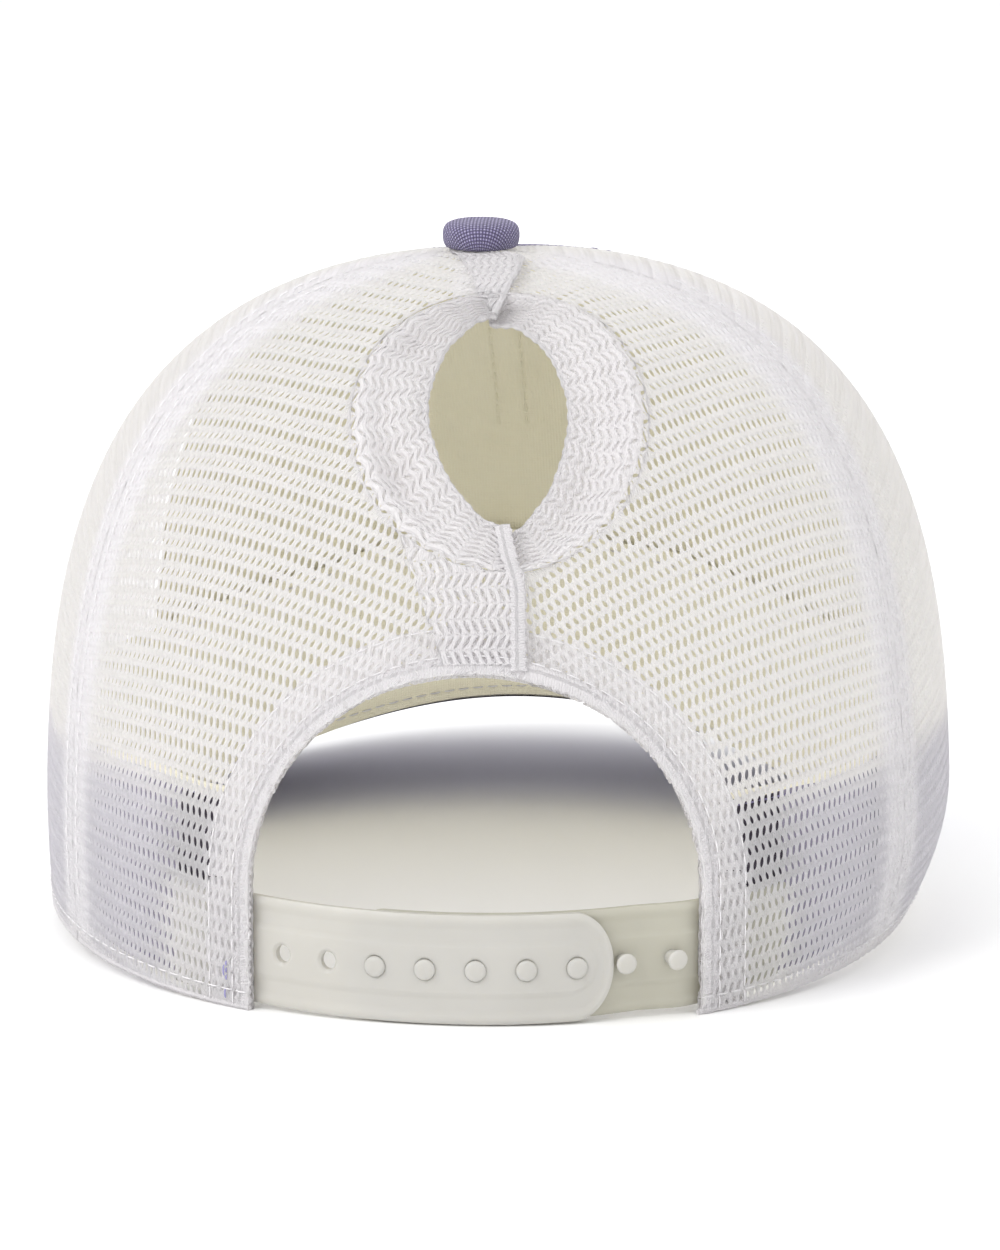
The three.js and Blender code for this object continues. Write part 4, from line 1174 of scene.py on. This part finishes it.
class StrapHalf:
    """A half of the strap laid out flat, in millimetres along it and up from its middle line."""

    def __init__(self, half):
        self.is_over = half is OVER
        self.sewn, self.free = half["sewn"] * DEG * STRAP_RADIUS, half["free"] * DEG * STRAP_RADIUS
        self.way = 1 if self.free > self.sewn else -1
        self.middle = self.free - self.way * END_RADIUS
        steps = range(STRAP["count"]) if self.is_over else ()
        centers = [(half["first_hole"] - i * STRAP["pitch"]) * DEG * STRAP_RADIUS for i in steps]
        self.holes = [np.array([center, 0]) for center in centers]

    def past_middle(self, flat):
        return self.way * (flat[:, 0] - self.middle)

    def reach(self, flat):
        """How far out points lie: 1 on the strap's outline."""
        return np.hypot(np.clip(self.past_middle(flat), 0, None) / END_RADIUS, flat[:, 1] / STRAP_HALF)

    def from_hole(self, flat):
        """How far points lie from the middle of the nearest hole."""
        gaps = [np.hypot(*(flat - center).T) for center in self.holes]
        return np.min([np.full(len(flat), np.inf), *gaps], axis=0)

    def outline(self):
        turns = np.linspace(-math.pi / 2, math.pi / 2, 61)
        straight = np.linspace(self.middle, self.sewn, int(abs(self.middle - self.sewn) / 0.7) + 1)[1:]
        up = np.linspace(STRAP_HALF, -STRAP_HALF, 29)[1:-1]
        end = self.middle + self.way * END_RADIUS * np.cos(turns)
        x = [straight[::-1], end, straight, self.sewn + 0 * up]
        y = [0 * straight - STRAP_HALF, STRAP_HALF * np.sin(turns), 0 * straight + STRAP_HALF, up]
        return np.column_stack([np.concatenate(x), np.concatenate(y)])

    def filling(self):
        """Points all over it, clear of its outline and its holes."""
        along = np.arange(min(self.sewn, self.free) + 0.5, max(self.sewn, self.free), 0.62)
        up = np.linspace(-STRAP_HALF, STRAP_HALF, 37)[1:-1]
        flat = np.stack(np.meshgrid(along, up), -1).reshape(-1, 2)
        return flat[(self.reach(flat) < 0.95) & (self.from_hole(flat) > HOLE["clear"])]

    def triangles(self):
        """Its points, and small triangles between them."""
        circle = np.column_stack([np.cos(turns_round(24)), np.sin(turns_round(24))])
        loops = [self.outline()] + [center + HOLE["radius"] * circle for center in self.holes]
        rings = [center + radius * circle for center in self.holes for radius in HOLE["rings"]]
        edges, start = [], 0
        for loop in loops:
            n = len(loop)
            edges += [(start + i, start + (i + 1) % n) for i in range(n)]
            start += n
        points = [Vector(p) for p in np.vstack([*loops, *rings, self.filling()])]
        flat, _, corners, *_ = delaunay_2d_cdt(points, edges, [], 0, 1e-5)
        flat, corners = (np.array([tuple(row) for row in rows]) for rows in (flat, corners))
        centers = flat[corners].mean(axis=1)
        inside = (self.reach(centers) < 1) & (self.from_hole(centers) > HOLE["radius"] * 0.99)
        return flat, corners[inside]

    def relief(self, flat):
        """A raised rim with a rounded edge, a raised band and a hollow round each hole."""
        inward = (1 - self.reach(flat)) * STRAP_HALF
        rounded = np.clip(1 - inward / RELIEF["round_wide"], 0, 1) ** 2
        rim = RELIEF["rim"] * ramp(inward, *RELIEF["rim_step"]) - RELIEF["round"] * rounded
        end, half = RELIEF["band_end"], RELIEF["band_half"]
        out = np.hypot(np.clip(self.past_middle(flat) + 1.5, 0, None) / end, flat[:, 1] / half) * half
        hollow = ramp(np.minimum(self.from_hole(flat), 99), HOLE["sink"], HOLE["radius"])
        return rim + RELIEF["band"] * ramp(out, *RELIEF["band_step"]) - HOLE["depth"] * hollow

    def plate(self):
        """The half laid round the crown, with walls between its outer and its inner face."""
        flat, corners = self.triangles()
        az = flat[:, 0] / STRAP_RADIUS
        depth = strap_depth(az, self.is_over)
        climb = climb_at(az, STRAP_MIDDLE + flat[:, 1])
        depths = depth - self.relief(flat), depth + STRAP["thick"]
        points = np.vstack([sunk(az, climb, each) for each in depths])
        # Boundary edges belong to one triangle only; each gets a wall.
        sides = np.vstack([corners[:, [0, 1]], corners[:, [1, 2]], corners[:, [2, 0]]])
        _, first, counts = np.unique(np.sort(sides, axis=1), axis=0, return_index=True, return_counts=True)
        border, n = sides[first[counts == 1]], len(flat)
        faces = [corners, corners[:, ::-1] + n, np.hstack([border[:, ::-1], border + n])]
        return {"points": points, "faces": faces, "uv": np.vstack([flat, flat])}


PEG_PROFILE = [
    (1.35, -0.6), (1.35, 1.6), (1.42, 1.72), (1.66, 1.8), (1.8, 1.92), (1.84, 2.1), (1.78, 2.34),
    (1.6, 2.52), (1.2, 2.63), (0.7, 2.68), (0.001, 2.7),
]


def strap_pegs():
    pegs = []
    for i in range(STRAP["count"]):
        az = (UNDER["first_peg"] + i * STRAP["pitch"]) * DEG
        base, out = crown_line(az, climb_at(az, STRAP_MIDDLE), strap_depth(az, False) - 0.1)
        side = unit(np.cross(np.array([0, 0, 1.0]), out))
        rings = base + lathe(PEG_PROFILE, 28) @ np.stack([np.cross(out, side), side, out])
        pegs.append(part(loft(rings, closed=True), PLASTIC_LOOK))
    return pegs


over_parts = [part(StrapHalf(OVER).plate(), PLASTIC_LOOK)]
under_parts = [part(StrapHalf(UNDER).plate(), UNDER_SHADED_LOOK), *strap_pegs()]
add_piece("snap_strap_holes", over_parts, ["strap_holes"], sharp=50)
add_piece("snap_strap_pegs", under_parts, ["strap_pegs"], sharp=50)


# Camera at the photograph's angle, worked out on the rim plane.

FOCAL_PX, LONG_SIDE_PX, SENSOR = 5053.0, 1250, 36.0
DISTANCE = 948.0
ELEVATION, YAW = 12.6 * DEG, -2.75 * DEG
TARGET = np.array([0, 0, 52.5])
SHIFT_PX = {"right": 0.7, "up": -17.4}
level = np.array([math.sin(YAW), math.cos(YAW), 0])
back = level * math.cos(ELEVATION) + np.array([0, 0, math.sin(ELEVATION)])
right = np.array([-math.cos(YAW), math.sin(YAW), 0])
shift = SHIFT_PX["right"] * right + SHIFT_PX["up"] * np.cross(back, right)
eye_m, aim_m = seat(TARGET + DISTANCE * back), seat(TARGET + DISTANCE / FOCAL_PX * shift)
axis_back = unit(eye_m - aim_m)
axis_right = unit(tilted(right) - np.dot(tilted(right), axis_back) * axis_back)
rotation = np.column_stack([axis_right, np.cross(axis_back, axis_right), axis_back])

camera_data = bpy.data.cameras.new("camera")
camera_data.lens = FOCAL_PX / LONG_SIDE_PX * SENSOR
camera_data.sensor_width = SENSOR
camera_data.clip_start = 0.05
camera_data.clip_end = 50
camera = in_scene("camera", camera_data)
camera.matrix_world = Matrix.Translation(Vector(eye_m)) @ Matrix(rotation.tolist()).to_4x4()
bpy.context.scene.camera = camera


# Studio: a pale floor, an even white surround and soft lamps behind on both sides and in front.

def area_lamp(name, place, aim_at, size, power):
    data = bpy.data.lights.new(name, "AREA")
    data.shape = "DISK"
    data.size = size
    data.energy = power
    lamp = in_scene(name, data)
    lamp.location = place
    lamp.rotation_mode = "QUATERNION"
    lamp.rotation_quaternion = (Vector(place) - Vector(aim_at)).to_track_quat("Z", "Y")


area_lamp("key", (1.3, 1.2, 1.5), (0, 0, 0.06), 1.5, 21)
area_lamp("front", (0, -2.0, 0.3), (0, -0.1, 0), 1.6, 15)
area_lamp("fill", (-1.6, 1.2, 0.9), (0, 0, 0.06), 1.6, 4)

world = bpy.data.worlds.new("surround")
bpy.context.scene.world = world
world.use_nodes = True
surround = world.node_tree.nodes["Background"].inputs
surround["Color"].default_value = (1, 1, 1, 1)
surround["Strength"].default_value = 1.08

floor_mesh = bpy.data.meshes.new("floor")
floor_mesh.from_pydata([(-9, -9, 0), (9, -9, 0), (9, 9, 0), (-9, 9, 0)], [], [(0, 1, 2, 3)])
floor = in_scene("floor", floor_mesh)
floor_look = Look("floor", 0.9)
floor_look.color(floor_look.noise(3, 2.0), (0.93, 0.93, 0.93), (0.96, 0.96, 0.96))
floor_mesh.materials.append(floor_look.material)

bpy.context.scene.view_settings.view_transform = "Standard"
